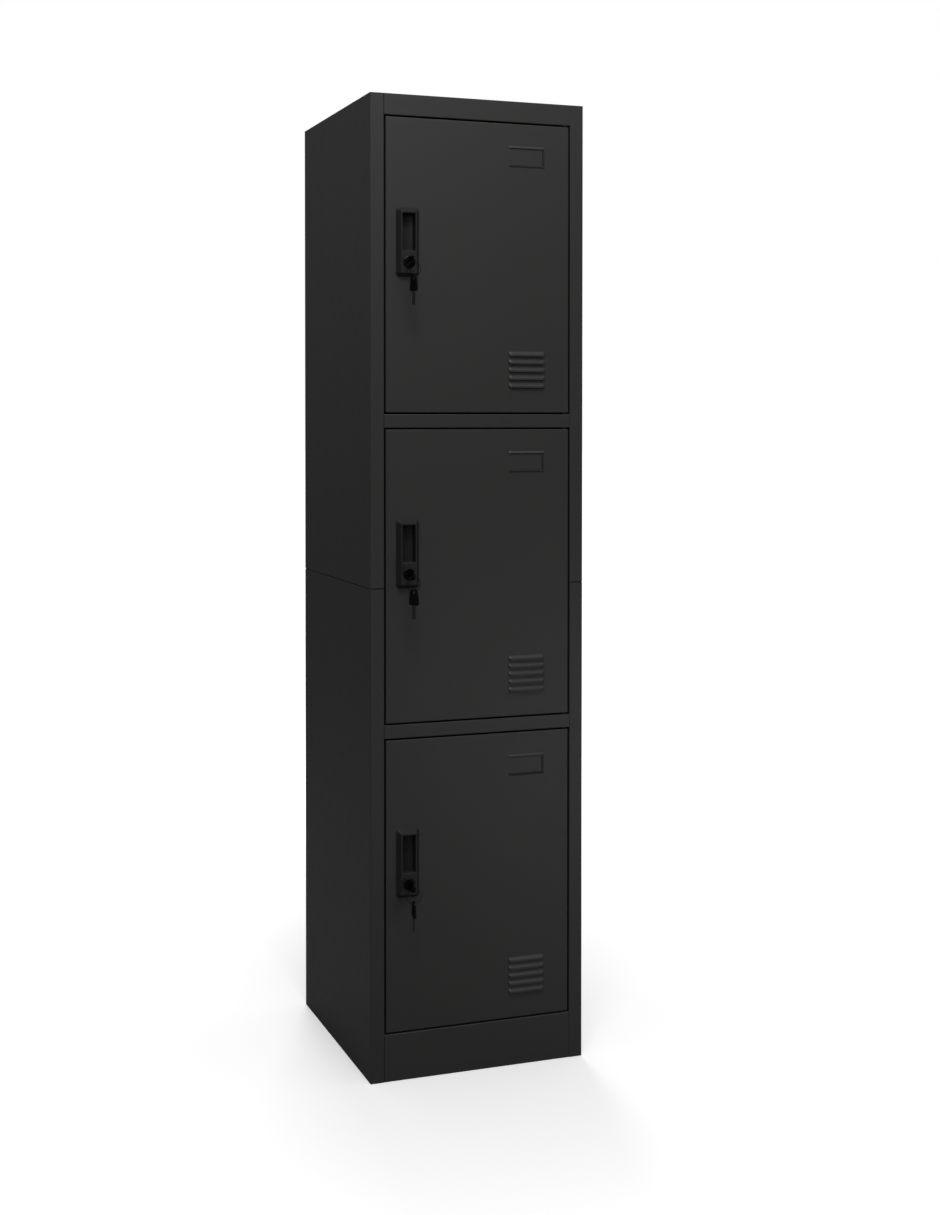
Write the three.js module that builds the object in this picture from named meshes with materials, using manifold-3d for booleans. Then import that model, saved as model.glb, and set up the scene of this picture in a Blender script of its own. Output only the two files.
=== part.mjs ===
// A three-door steel locker cabinet: a folded-sheet carcass that bolts together from flat panels, and three
// lockers, one above the other, each with a pin-hinged door, a recessed pull with a cam lock, and two keys.
// Millimetres, +Z up. X runs across the front, Y from front to back. Everything is built with the front face
// of the doors at y = 0, and the finished group is moved so that its footprint is centred on the origin.
import * as THREE from "three";
import { mergeVertices } from "three/addons/utils/BufferGeometryUtils.js";
import Module from "manifold-3d";

const wasm = await Module();
wasm.setup();

// ---- Driving dimensions ----------------------------------------------------------------------------------
const WIDTH = 420;
const DEPTH = 450;
const SHEET = 0.7; // steel sheet of every panel
const FIT = 0.2; // gap between two panels that are screwed together
const LOCKERS = 3;
const OPENING = 541.5; // height of one door opening
const PLINTH = 87; // floor to the lowest opening
const RAIL = 25; // face of the rail between two openings
const TOP_RAIL = 38.5;
const STILE = 26.5; // face of the upright at each side of the openings
const GAP = 3; // between a door's edge and the frame
const SEAM = 903; // height where the lower side and back panels meet the upper ones

// Frame folds
const STRIKE = 10; // how far the upright strike reaches into the opening
const RAIL_STRIKE = 8; // how far the strike under a rail hangs down
const FLANGE = 15; // fold at the edges of decks and backs
const REAR_FLANGE = 16; // fold at the back of a side panel
const FOOT_FLANGE = 20; // fold that the plinth stands on
const LAP = 6; // how far a folded front runs into its deck
const SPLICE = 20; // how far the splice strip reaches past the seam, each way

// Doors
const DOOR_DEPTH = 18;
const DOOR_RETURN = 12; // inner fold round the back of a door
const OPEN_EDGE = 41.5; // pull's centre line, from the door's opening edge
const PIVOT_IN = 7; // hinge axis from the door's hinge edge
const PIVOT_BACK = 6; // hinge axis behind the door's face
const PIN_RADIUS = 3;
const PIN_HEAD_RADIUS = 4.9;
const PIN_HEAD = 2;
const PIN_PLAY = 0.3; // running clearance of a pin in its bush
const BUSH_WALL = 1.2;
const BUSH_FLANGE = 1.4;
const BUSH_FLANGE_RADIUS = 5.6;
const BUSH_LENGTH = 5;
const STIFFENER_FROM = 118; // near side of the door's stiffener, from its opening edge
const STIFFENER_WIDTH = 50;
const STIFFENER_RIB = 26; // flat top of the stiffener
const STIFFENER_CLEAR = 2.4; // between the stiffener's crown and the door's inner fold

// Louvres and card frame, both in line, measured from the door's opening edge and its lower edge
const VENT_FROM = 240.5;
const VENT_LENGTH = 71.5;
const VENT_COUNT = 5;
const VENT_PITCH = 14.6;
const VENT_BASE = 46.5;
const VENT_HEIGHT = 10;
const VENT_PROUD = 4;
const CARD_BASE = 454.7;
const CARD_HEIGHT = 40.4;
const CARD_LIP = 4.2;
const CARD_PROUD = 2;

// Recessed pull, measured from its lower edge
const PULL_BASE = 246; // pull's lower edge above the door's lower edge
const PULL_WIDTH = 44;
const PULL_HEIGHT = 126;
const PULL_BEVEL = 6.5;
const PULL_PROUD = 10;
const PULL_CORNER = 3;
const CUP_WIDTH = 25;
const CUP_HEIGHT = 69;
const CUP_FROM = 47;
const CUP_WALL = 2;
const CUP_SLOPE = 8; // how much deeper the cup is at the opening edge, where the fingers hook, than opposite
const LOCK_HEIGHT = 26.5;
const PULL_CLEAR = 5; // from the back of the pull's body to the back of the door
const CUTOUT_PLAY = 0.5;
const CLIP = 1.6; // snap clips at the sides of the rear body

// Cam lock
const BARREL_RADIUS = 8.5;
const BARREL_HEAD_RADIUS = 11.2;
const BARREL_HEAD = 1.5;
const COLLAR_LENGTH = 3.9; // of the turning core, between the barrel and the cam
const LOCK_PLAY = 0.3;
const PLUG_RADIUS = 6;
const COLLAR_RADIUS = 7.6;
const NUT_RADIUS = 12.4;
const NUT_THICKNESS = 4;
const CAM_THICKNESS = 2;
const CAM_CLEAR = 0.8; // between the strike and the cam behind it
const CAM_WIDTH = 15;
const CAM_REACH = 42; // lock axis to the tip of the cam
const TAIL_SIZE = 7; // square tail that carries the cam
const CAM_SCREW_RADIUS = 2;
const CAM_SCREW_HEAD_RADIUS = 5.2;
const CAM_SCREW_HEAD = 2.4;

// Keys
const KEY_HEAD_LENGTH = 30;
const KEY_HEAD_WIDTH = 22;
const KEY_END_WIDTH = 15;
const KEY_HEAD_THICKNESS = 3;
const KEY_CORNER = 4;
const KEY_HOLE_RADIUS = 3.2;
const KEY_HOLE_IN = 6.5; // hole's centre from the end of the head
const BLADE_LENGTH = 24; // from the lock's face to the tip
const BLADE_WIDTH = 8;
const BLADE_THICKNESS = 2;
const KEYWAY_PLAY = 0.3;
const KEY_STANDOFF = 1; // between the lock's face and the key's head
const RING_RADIUS = 13.5;
const WIRE_RADIUS = 0.9;
const RING_DROP = 1.8; // how far the wire hangs below the middle of a key's hole
const RING_YAW = [6, 12, -4]; // how each ring hangs, top locker first, in degrees about the vertical
const SPARE_YAW = [18, 32, -2];

const BUMPER_RADIUS = 4;
const BUMPER_THICKNESS = 3.6;

// ---- Sizes worked out from them --------------------------------------------------------------------------
const HEIGHT = PLINTH + LOCKERS * OPENING + (LOCKERS - 1) * RAIL + TOP_RAIL;
const PITCH = OPENING + RAIL;
const DOOR_WIDTH = WIDTH - 2 * STILE - 2 * GAP;
const DOOR_HEIGHT = OPENING - 2 * GAP;
const DOOR_LEFT = -WIDTH / 2 + STILE + GAP;
const STRIKE_DEPTH = DOOR_DEPTH + BUMPER_THICKNESS + 2 * FIT; // from the front face to the doors' strike
const INSIDE = WIDTH / 2 - SHEET - FIT; // half width between the side sheets
const BETWEEN = WIDTH / 2 - STILE - FIT; // half width between the uprights
const BACK_FRONT = DEPTH - 2 * SHEET - FIT; // front surface of the back panels
const BEHIND_STILE = STRIKE_DEPTH + SHEET + FIT;
const PIVOT_X = DOOR_WIDTH - PIVOT_IN;
const BUSH_RADIUS = PIN_RADIUS + PIN_PLAY + BUSH_WALL;
const PIN_SHOULDER = GAP - BUSH_FLANGE - 2 * FIT;
const LOCK_FACE = PULL_PROUD + LOCK_PLAY + BARREL_HEAD; // lock's face in front of the door's face
const CAM_FRONT = STRIKE_DEPTH + SHEET + CAM_CLEAR;
const CAM_BACK = CAM_FRONT + CAM_THICKNESS;
const BARREL_END = CAM_FRONT - COLLAR_LENGTH - 2 * LOCK_PLAY;
const PULL_BODY_DEPTH = DOOR_DEPTH - PULL_CLEAR; // behind the door's face
const CUP_FLOOR = PULL_BODY_DEPTH - CUP_WALL; // deepest point of the cup behind the door's face
const KEY_FRONT = LOCK_FACE + KEY_STANDOFF;
const HOLE_FRONT = KEY_FRONT + KEY_HEAD_LENGTH - KEY_HOLE_IN;
const ROUND = 12; // sides of a small round piece

// ---- Shapes ----------------------------------------------------------------------------------------------
const X = new THREE.Vector3(1, 0, 0);
const Y = new THREE.Vector3(0, 1, 0);
const Z = new THREE.Vector3(0, 0, 1);

// The closed outline of a sheet folded along a path: the path, then the same path moved in by the sheet's
// thickness. The thickness lies on the right of the path, and corners are mitred.
function folded(path, thickness = SHEET) {
  const points = path.map(([a, b]) => new THREE.Vector2(a, b));
  const right = (from, to) => {
    const along = to.clone().sub(from).normalize();
    return new THREE.Vector2(along.y, -along.x);
  };
  const inner = points.map((point, i) => {
    const before = i > 0 ? right(points[i - 1], point) : right(point, points[i + 1]);
    const after = i < points.length - 1 ? right(point, points[i + 1]) : before;
    const mitre = before.clone().add(after).divideScalar(1 + before.dot(after));
    return point.clone().addScaledVector(mitre, thickness);
  });
  return [...points, ...inner.reverse()];
}

const outline = (points) => new THREE.Shape(points.map((p) => (p.isVector2 ? p : new THREE.Vector2(...p))));

// An outline drawn in two of the axes and carried along the third.
function carried(shape, length, first, second, along, start, options = {}) {
  const geometry = new THREE.ExtrudeGeometry(shape, {
    depth: length,
    bevelEnabled: false,
    curveSegments: 5,
    ...options,
  });
  geometry.applyMatrix4(new THREE.Matrix4().makeBasis(first, second, along));
  return geometry.translate(...start.toArray());
}
// plan outline (x, y), carried upwards from z0 to z1
const upright = (shape, z0, z1) => carried(shape, z1 - z0, X, Y, Z, new THREE.Vector3(0, 0, z0));
// side outline (y, z), carried across from x0 to x1
const across = (shape, x0, x1) => carried(shape, x1 - x0, Y, Z, X, new THREE.Vector3(x0, 0, 0));
// front outline (x, z), carried forwards from y1 to y0
const forward = (shape, y0, y1) =>
  carried(shape, y1 - y0, X, Z, Y.clone().negate(), new THREE.Vector3(0, y1, 0));

function block(x0, x1, y0, y1, z0, z1) {
  const box = new THREE.BoxGeometry(x1 - x0, y1 - y0, z1 - z0);
  return box.translate((x0 + x1) / 2, (y0 + y1) / 2, (z0 + z1) / 2);
}

// A round rod along Y from y0 to y1, or along Z from z0 to z1, about a point in the other two axes.
function rodY(radius, y0, y1, x, z, sides = ROUND) {
  const rod = new THREE.CylinderGeometry(radius, radius, y1 - y0, sides);
  return rod.translate(x, (y0 + y1) / 2, z);
}
function rodZ(radius, z0, z1, x, y, sides = ROUND) {
  const rod = new THREE.CylinderGeometry(radius, radius, z1 - z0, sides).rotateX(Math.PI / 2);
  return rod.translate(x, y, (z0 + z1) / 2);
}

// A rectangle with rounded corners, centred on (x, z).
function roundedRectangle(width, height, corner, x, z) {
  const shape = new THREE.Shape();
  const [w, h] = [width / 2, height / 2];
  shape.moveTo(x - w + corner, z - h);
  shape.absarc(x + w - corner, z - h + corner, corner, -Math.PI / 2, 0);
  shape.absarc(x + w - corner, z + h - corner, corner, 0, Math.PI / 2);
  shape.absarc(x - w + corner, z + h - corner, corner, Math.PI / 2, Math.PI);
  shape.absarc(x - w + corner, z - h + corner, corner, Math.PI, 1.5 * Math.PI);
  return shape;
}

// ---- Joining and cutting ---------------------------------------------------------------------------------
// Corners are rounded to 1/1024 mm, which 32-bit numbers hold exactly, so faces meant to be flush are flush.
function solid(geometry) {
  const bare = geometry.index ? geometry.toNonIndexed() : geometry.clone();
  bare.deleteAttribute("normal");
  bare.deleteAttribute("uv");
  const corners = bare.attributes.position.array;
  corners.forEach((value, i) => (corners[i] = Math.round(value * 1024) / 1024));
  const merged = mergeVertices(bare, 1e-4);
  const mesh = new wasm.Mesh({
    numProp: 3,
    vertProperties: merged.attributes.position.array,
    triVerts: new Uint32Array(merged.index.array),
  });
  return new wasm.Manifold(mesh);
}

function geometryOf(manifold) {
  const mesh = manifold.getMesh();
  const geometry = new THREE.BufferGeometry();
  geometry.setAttribute("position", new THREE.BufferAttribute(mesh.vertProperties, 3));
  geometry.setIndex(new THREE.BufferAttribute(mesh.triVerts, 1));
  return geometry;
}

// The first list of geometries joined together, less the second list.
function made(joined, cut = []) {
  let body = solid(joined[0]);
  for (const piece of joined.slice(1)) body = body.add(solid(piece));
  for (const piece of cut) body = body.subtract(solid(piece));
  return geometryOf(body);
}

// ---- Materials -------------------------------------------------------------------------------------------
function finish(color, roughness, metalness) {
  return new THREE.MeshStandardMaterial({ color, roughness, metalness });
}
const steel = finish(0x343433, 0.55, 0.2); // anthracite powder coat
const pullPlastic = finish(0x2a2a2a, 0.5, 0);
const blackPlastic = finish(0x0c0c0c, 0.4, 0);
const blackMetal = finish(0x101010, 0.35, 0.6);
const zinc = finish(0x9b9b95, 0.4, 1);
const nylon = finish(0x1c1c1c, 0.5, 0);
const rubber = finish(0x1a1a1a, 0.9, 0);

function piece(name, geometry, material) {
  const mesh = new THREE.Mesh(geometry, material);
  mesh.name = name;
  return mesh;
}

// ---- Heights of the openings, top locker first -----------------------------------------------------------
const openingBase = (locker) => PLINTH + (LOCKERS - 1 - locker) * PITCH;
const railUnder = (locker) => openingBase(locker) - RAIL; // lower edge of the rail below that locker

// ---- Carcass ---------------------------------------------------------------------------------------------

// One half of the right-hand side: rear flange, side sheet, upright and its return, in one folded sheet, with
// the strike that the doors close against left off at each rail.
function sidePanel(base, top, isLower) {
  const half = WIDTH / 2;
  const section = outline(
    folded([
      [half - STILE, STRIKE_DEPTH + SHEET],
      [half - STILE, 0],
      [half, 0],
      [half, DEPTH],
      [half - REAR_FLANGE, DEPTH],
    ].reverse()),
  );
  const joined = [upright(section, base, top)];
  for (let locker = 0; locker < LOCKERS; locker++) {
    const from = Math.max(base, openingBase(locker) + FIT);
    const to = Math.min(top, openingBase(locker) + OPENING - RAIL_STRIKE - FIT);
    if (to > from)
      joined.push(
        block(half - STILE - STRIKE, half - STILE + SHEET, STRIKE_DEPTH, STRIKE_DEPTH + SHEET, from, to),
      );
  }
  if (isLower) {
    const [near, far] = [BEHIND_STILE + FLANGE, BACK_FRONT - FLANGE];
    const sheet = half - SHEET;
    joined.push(
      block(half - FLANGE, half, BEHIND_STILE, BACK_FRONT - FIT, 0, SHEET),
      block(INSIDE - SHEET, sheet + SHEET / 2, near, far, top - SPLICE, top),
      block(INSIDE - SHEET, INSIDE, near, far, top - SPLICE, top + SPLICE),
    );
  }
  return made(joined);
}

// A deck with its side and rear flanges folded down.
function deck(top) {
  return made(
    [block(-INSIDE, INSIDE, BEHIND_STILE, BACK_FRONT - FIT, top - FLANGE, top)],
    [block(-INSIDE + SHEET, INSIDE - SHEET, 0, BACK_FRONT - FIT - SHEET, top - FLANGE - 1, top - SHEET)],
  );
}

// The folds along the front of a rail: hanging strike, underside, face, and the strip into the deck.
function railFront(base, top) {
  const section = folded([
    [STRIKE_DEPTH, base - RAIL_STRIKE],
    [STRIKE_DEPTH, base],
    [0, base],
    [0, top],
    [BEHIND_STILE + LAP, top],
  ]);
  return across(outline(section), -BETWEEN, BETWEEN);
}

const hingeHole = (z) =>
  rodZ(BUSH_RADIUS + FIT, z - SHEET * 2, z + SHEET * 2, DOOR_LEFT + PIVOT_X, PIVOT_BACK);

function shelf(base) {
  const top = base + RAIL;
  return made([deck(top), railFront(base, top)], [hingeHole(base), hingeHole(top)]);
}

function topPanel() {
  const base = HEIGHT - TOP_RAIL;
  const cap = block(-WIDTH / 2, WIDTH / 2, 0, DEPTH, HEIGHT - SHEET, HEIGHT);
  return made([deck(HEIGHT), railFront(base, HEIGHT), cap], [hingeHole(base)]);
}

// The lowest deck lies under the plinth's upper fold, and is notched for the hinge bush.
function bottomPanel() {
  const top = PLINTH - SHEET - FIT;
  const front = SHEET + FIT;
  const section = folded([
    [front, top - FLANGE],
    [front, top],
    [BEHIND_STILE + LAP, top],
  ]);
  const bush = DOOR_LEFT + PIVOT_X;
  const notch = BUSH_RADIUS + 2 * FIT;
  return made(
    [deck(top), across(outline(section), -BETWEEN, BETWEEN)],
    [block(bush - notch, bush + notch, 0, PIVOT_BACK + notch, top - FLANGE - 1, PLINTH)],
  );
}

function plinth() {
  const section = folded([
    [FOOT_FLANGE, 0],
    [0, 0],
    [0, PLINTH],
    [STRIKE_DEPTH, PLINTH],
  ]);
  return made([across(outline(section), -BETWEEN, BETWEEN)], [hingeHole(PLINTH)]);
}

// A back panel, with the flange that bolts to its neighbour folded forwards at the seam.
function backPanel(base, top, flangeBase) {
  const fold = [BACK_FRONT - FLANGE, BACK_FRONT + SHEET / 2];
  return made([
    block(-INSIDE, INSIDE, BACK_FRONT, BACK_FRONT + SHEET, base, top),
    block(-INSIDE + SHEET, INSIDE - SHEET, ...fold, flangeBase, flangeBase + SHEET),
  ]);
}

// The bush of a hinge pin. Its flange faces the door: down from a rail's underside, or up from a sill.
function hingeBush(sheetFace, towardsDoor) {
  const axis = [DOOR_LEFT + PIVOT_X, PIVOT_BACK];
  const flange = [sheetFace + towardsDoor * FIT, sheetFace + towardsDoor * (FIT + BUSH_FLANGE)];
  const barrel = [sheetFace + towardsDoor * (FIT + BUSH_FLANGE / 2), sheetFace - towardsDoor * BUSH_LENGTH];
  const span = (ends) => [Math.min(...ends), Math.max(...ends)];
  const [low, high] = span([...flange, ...barrel]);
  return made(
    [rodZ(BUSH_FLANGE_RADIUS, ...span(flange), ...axis), rodZ(BUSH_RADIUS, ...span(barrel), ...axis)],
    [rodZ(PIN_RADIUS + PIN_PLAY, low - 1, high + 1, ...axis)],
  );
}

function bumper(locker) {
  const x = -WIDTH / 2 + STILE + STRIKE / 2;
  const y = STRIKE_DEPTH - FIT;
  return rodY(BUMPER_RADIUS, y - BUMPER_THICKNESS, y, x, openingBase(locker) + OPENING / 2);
}

// ---- Doors, built with their lower opening-side corner at the origin -------------------------------------

// A louvre pressed out of the door's skin: a hood that slopes out to an open lower edge, with closed ends.
function louvre(base) {
  const top = base + VENT_HEIGHT;
  const slope = VENT_PROUD / VENT_HEIGHT;
  const wall = SHEET * Math.hypot(1, slope); // the sheet's thickness measured along Y
  const below = 1;
  const hood = outline([
    [SHEET / 2, top],
    [0, top],
    [-VENT_PROUD, base],
    [SHEET / 2, base],
  ]);
  const hollow = outline([
    [2 * SHEET, top],
    [wall, top],
    [wall - VENT_PROUD - slope * below, base - below],
    [-SHEET, base - below],
    [-SHEET, base],
    [2 * SHEET, base],
  ]);
  const [from, to] = [VENT_FROM, VENT_FROM + VENT_LENGTH];
  return { hood: across(hood, from, to), hollow: across(hollow, from + SHEET, to - SHEET) };
}

// The card frame: a lip along the top, the bottom and the hinge side, standing off the skin, open at one end.
function cardFrame() {
  const [x0, x1] = [VENT_FROM, VENT_FROM + VENT_LENGTH];
  const [z0, z1] = [CARD_BASE, CARD_BASE + CARD_HEIGHT];
  const [front, mid, root] = [-CARD_PROUD, -CARD_PROUD + SHEET, SHEET / 2];
  return [
    block(x0, x1, front, root, z1 - SHEET, z1),
    block(x0, x1, front, mid, z1 - CARD_LIP, z1),
    block(x0, x1, front, root, z0, z0 + SHEET),
    block(x0, x1, front, mid, z0, z0 + CARD_LIP),
    block(x1 - SHEET, x1, front, root, z0, z1),
    block(x1 - CARD_LIP, x1, front, mid, z0, z1),
  ];
}

const cutoutWidth = CUP_WIDTH + 2 * CUP_WALL;
const cutoutBase = LOCK_HEIGHT - BARREL_RADIUS - LOCK_PLAY - CUP_WALL;
const cutoutTop = CUP_FROM + CUP_HEIGHT + CUP_WALL;

function doorPanel() {
  const vents = Array.from({ length: VENT_COUNT }, (_, i) => louvre(VENT_BASE + i * VENT_PITCH));
  const inner = [SHEET, DOOR_WIDTH - SHEET];
  const behind = [DOOR_RETURN, DOOR_WIDTH - DOOR_RETURN];
  const pinHole = (z) => rodZ(PIN_RADIUS + FIT, z - 2 * SHEET, z + 2 * SHEET, PIVOT_X, PIVOT_BACK);
  const cutout = cutoutWidth / 2 + CUTOUT_PLAY;
  const pan = made(
    [block(0, DOOR_WIDTH, 0, DOOR_DEPTH, 0, DOOR_HEIGHT)],
    [
      block(...inner, SHEET, DOOR_DEPTH - SHEET, SHEET, DOOR_HEIGHT - SHEET),
      block(...behind, DOOR_DEPTH / 2, DOOR_DEPTH + SHEET, DOOR_RETURN, DOOR_HEIGHT - DOOR_RETURN),
      pinHole(0),
      pinHole(DOOR_HEIGHT),
      block(
        OPEN_EDGE - cutout,
        OPEN_EDGE + cutout,
        -SHEET,
        2 * SHEET,
        PULL_BASE + cutoutBase - CUTOUT_PLAY,
        PULL_BASE + cutoutTop + CUTOUT_PLAY,
      ),
    ],
  );
  return made([pan, ...vents.map((v) => v.hood), ...cardFrame()], vents.map((v) => v.hollow));
}

// A hat-section stiffener, spot-welded to the inside of the skin from top to bottom.
function stiffener() {
  const [left, right] = [STIFFENER_FROM, STIFFENER_FROM + STIFFENER_WIDTH];
  const rise = (STIFFENER_WIDTH - STIFFENER_RIB) / 2;
  const [foot, crown] = [SHEET + FIT + SHEET, DOOR_DEPTH - SHEET - STIFFENER_CLEAR];
  const section = folded([
    [left, foot],
    [left + rise * 0.7, foot],
    [left + rise, crown],
    [right - rise, crown],
    [right - rise * 0.7, foot],
    [right, foot],
  ]);
  return upright(outline(section), SHEET + FIT, DOOR_HEIGHT - SHEET - FIT);
}

// A hinge pin: a head inside the door, a shank through its flange, a shoulder, and the end in the bush.
function hingePin(flangeFace, outwards) {
  const at = (distance) => flangeFace + outwards * distance;
  const span = (a, b) => [Math.min(at(a), at(b)), Math.max(at(a), at(b))];
  const inside = -SHEET - FIT;
  return made([
    rodZ(PIN_HEAD_RADIUS, ...span(inside - PIN_HEAD, inside), PIVOT_X, PIVOT_BACK),
    rodZ(PIN_RADIUS, ...span(inside - PIN_HEAD / 2, GAP + SHEET + BUSH_LENGTH), PIVOT_X, PIVOT_BACK),
    rodZ(PIN_HEAD_RADIUS, ...span(FIT, PIN_SHOULDER), PIVOT_X, PIVOT_BACK),
  ]);
}

// The recessed pull: a bevelled face plate, a finger cup that is deepest towards the door's opening edge, and
// a sleeve for the lock. Built about its own centre line, with its lower edge at z = 0.
function pull() {
  const [lockX, lockZ] = [0, LOCK_HEIGHT];
  const middle = PULL_HEIGHT / 2;
  const crest = roundedRectangle(
    PULL_WIDTH - 2 * PULL_BEVEL, PULL_HEIGHT - 2 * PULL_BEVEL, PULL_CORNER, 0, middle,
  );
  const plate = carried(crest, 2 * FIT, X, Z, Y.clone().negate(), new THREE.Vector3(0, -FIT, 0), {
    bevelEnabled: true,
    bevelThickness: PULL_PROUD - 3 * FIT,
    bevelSize: PULL_BEVEL,
    bevelSegments: 1,
  });
  const cupTop = CUP_FROM + CUP_HEIGHT;
  const half = CUP_WIDTH / 2;
  const cup = outline([
    [-half, -PULL_PROUD - 1],
    [half, -PULL_PROUD - 1],
    [half, CUP_FLOOR - CUP_SLOPE],
    [-half, CUP_FLOOR],
  ]);
  const body = cutoutWidth / 2;
  const clipAt = [SHEET + FIT, SHEET + FIT + 3 * CLIP];
  const clip = outline([
    [body - CLIP / 2, clipAt[0]],
    [body + CUTOUT_PLAY + CLIP, clipAt[0]],
    [body - CLIP / 2, clipAt[1]],
  ]);
  const clipBase = CUP_FROM + CUP_HEIGHT / 2 - 4 * CLIP;
  const rightClip = upright(clip, clipBase, clipBase + 8 * CLIP);
  return made(
    [
      plate,
      block(-body, body, -FIT - SHEET, PULL_BODY_DEPTH, cutoutBase, cutoutTop),
      rightClip,
      rightClip.clone().rotateZ(Math.PI).translate(0, clipAt[0] + clipAt[1], 0),
    ],
    [
      block(-PULL_WIDTH, -body - CLIP * 2, -FIT, PULL_BODY_DEPTH, -1, PULL_HEIGHT + 1),
      block(body + CLIP * 2, PULL_WIDTH, -FIT, PULL_BODY_DEPTH, -1, PULL_HEIGHT + 1),
      block(-PULL_WIDTH, PULL_WIDTH, -FIT, PULL_BODY_DEPTH, -1, cutoutBase),
      block(-PULL_WIDTH, PULL_WIDTH, -FIT, PULL_BODY_DEPTH, cutoutTop, PULL_HEIGHT + 1),
      block(body, body + 2 * CLIP, -FIT, SHEET + FIT, -1, PULL_HEIGHT + 1),
      block(-body - 2 * CLIP, -body, -FIT, SHEET + FIT, -1, PULL_HEIGHT + 1),
      upright(cup, CUP_FROM, cupTop),
      rodY(BARREL_RADIUS + LOCK_PLAY, -PULL_PROUD - 1, PULL_BODY_DEPTH + 1, lockX, lockZ),
    ],
  );
}

// ---- Lock, built about its own axis, which runs along Y through the origin --------------------------------
function lockBarrel() {
  const face = -PULL_PROUD - LOCK_PLAY;
  return made(
    [
      rodY(BARREL_HEAD_RADIUS, face - BARREL_HEAD, face, 0, 0, 20),
      rodY(BARREL_RADIUS, face - BARREL_HEAD / 2, BARREL_END, 0, 0),
    ],
    [rodY(PLUG_RADIUS + LOCK_PLAY, -LOCK_FACE - 1, BARREL_END + 1, 0, 0)],
  );
}

function lockNut() {
  const from = PULL_BODY_DEPTH + LOCK_PLAY;
  return made(
    [rodY(NUT_RADIUS, from, from + NUT_THICKNESS, 0, 0, 6)],
    [rodY(BARREL_RADIUS + LOCK_PLAY, from - 1, from + NUT_THICKNESS + 1, 0, 0)],
  );
}

// The turning core: a plug with its keyway, a collar behind the barrel, and the square tail for the cam.
function lockPlug() {
  const collar = BARREL_END + LOCK_PLAY;
  const tail = TAIL_SIZE / 2;
  const slot = [BLADE_THICKNESS / 2 + KEYWAY_PLAY, BLADE_WIDTH / 2 + KEYWAY_PLAY];
  const slotEnd = BLADE_LENGTH - LOCK_FACE + 2 * KEYWAY_PLAY;
  return made(
    [
      rodY(PLUG_RADIUS, -LOCK_FACE, collar + 1, 0, 0),
      rodY(COLLAR_RADIUS, collar, CAM_FRONT - LOCK_PLAY, 0, 0),
      block(-tail, tail, collar, CAM_BACK - LOCK_PLAY, -tail, tail),
    ],
    [
      block(-slot[0], slot[0], -LOCK_FACE - 1, slotEnd, -slot[1], slot[1]),
      rodY(CAM_SCREW_RADIUS + LOCK_PLAY, collar, CAM_BACK + 1, 0, 0),
    ],
  );
}

// The cam hangs down when the door is unlocked, and swings behind the upright's strike when it is locked.
function cam() {
  const shape = new THREE.Shape();
  const half = CAM_WIDTH / 2;
  shape.moveTo(half, 0);
  shape.absarc(0, 0, half, 0, Math.PI);
  shape.lineTo(-half, -CAM_REACH + half / 2);
  shape.lineTo(-half / 2, -CAM_REACH);
  shape.lineTo(half / 2, -CAM_REACH);
  shape.lineTo(half, -CAM_REACH + half / 2);
  const tail = TAIL_SIZE / 2 + LOCK_PLAY;
  return made(
    [forward(shape, CAM_FRONT, CAM_BACK)],
    [block(-tail, tail, CAM_FRONT - 1, CAM_BACK + 1, -tail, tail)],
  );
}

function camScrew() {
  const head = CAM_BACK + LOCK_PLAY;
  return made([
    rodY(CAM_SCREW_HEAD_RADIUS, head, head + CAM_SCREW_HEAD, 0, 0),
    rodY(CAM_SCREW_RADIUS, BARREL_END + 1, head + 0.1, 0, 0),
  ]);
}

// A key in the plane of Y and Z, with the hole for its ring at the origin, its head towards -Y and its blade
// towards +Y.
function key() {
  const [base, end] = [KEY_HEAD_LENGTH - KEY_HOLE_IN, -KEY_HOLE_IN];
  const [wide, narrow] = [KEY_HEAD_WIDTH / 2, KEY_END_WIDTH / 2];
  const head = new THREE.Shape();
  head.moveTo(base, -wide + KEY_CORNER);
  head.lineTo(base, wide - KEY_CORNER);
  head.quadraticCurveTo(base, wide, base - KEY_CORNER, wide);
  head.lineTo(end + 2 * KEY_CORNER, narrow + 1.5);
  head.quadraticCurveTo(end, narrow, end, 0);
  head.quadraticCurveTo(end, -narrow, end + 2 * KEY_CORNER, -narrow - 1.5);
  head.lineTo(base - KEY_CORNER, -wide);
  head.quadraticCurveTo(base, -wide, base, -wide + KEY_CORNER);
  const hole = new THREE.Path();
  hole.absarc(0, 0, KEY_HOLE_RADIUS, 0, 2 * Math.PI);
  head.holes.push(hole);
  const tip = base + BLADE_LENGTH + KEY_STANDOFF;
  const bladeHalf = BLADE_WIDTH / 2;
  const blade = outline([
    [base - 1, -bladeHalf],
    [tip - bladeHalf, -bladeHalf],
    [tip, -bladeHalf / 3],
    [tip, bladeHalf / 3],
    [tip - bladeHalf, bladeHalf],
    [base - 1, bladeHalf],
  ]);
  const sheet = (shape, thickness) => across(shape, -thickness / 2, thickness / 2);
  return made([sheet(head, KEY_HEAD_THICKNESS), sheet(blade, BLADE_THICKNESS)]);
}

// The ring lies in the plane of X and Z, about its own centre.
const keyRing = () => new THREE.TorusGeometry(RING_RADIUS, WIRE_RADIUS, 6, 24).rotateX(Math.PI / 2);

// ---- Assembly --------------------------------------------------------------------------------------------
const lockerNames = ["top", "middle", "bottom"];

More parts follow.
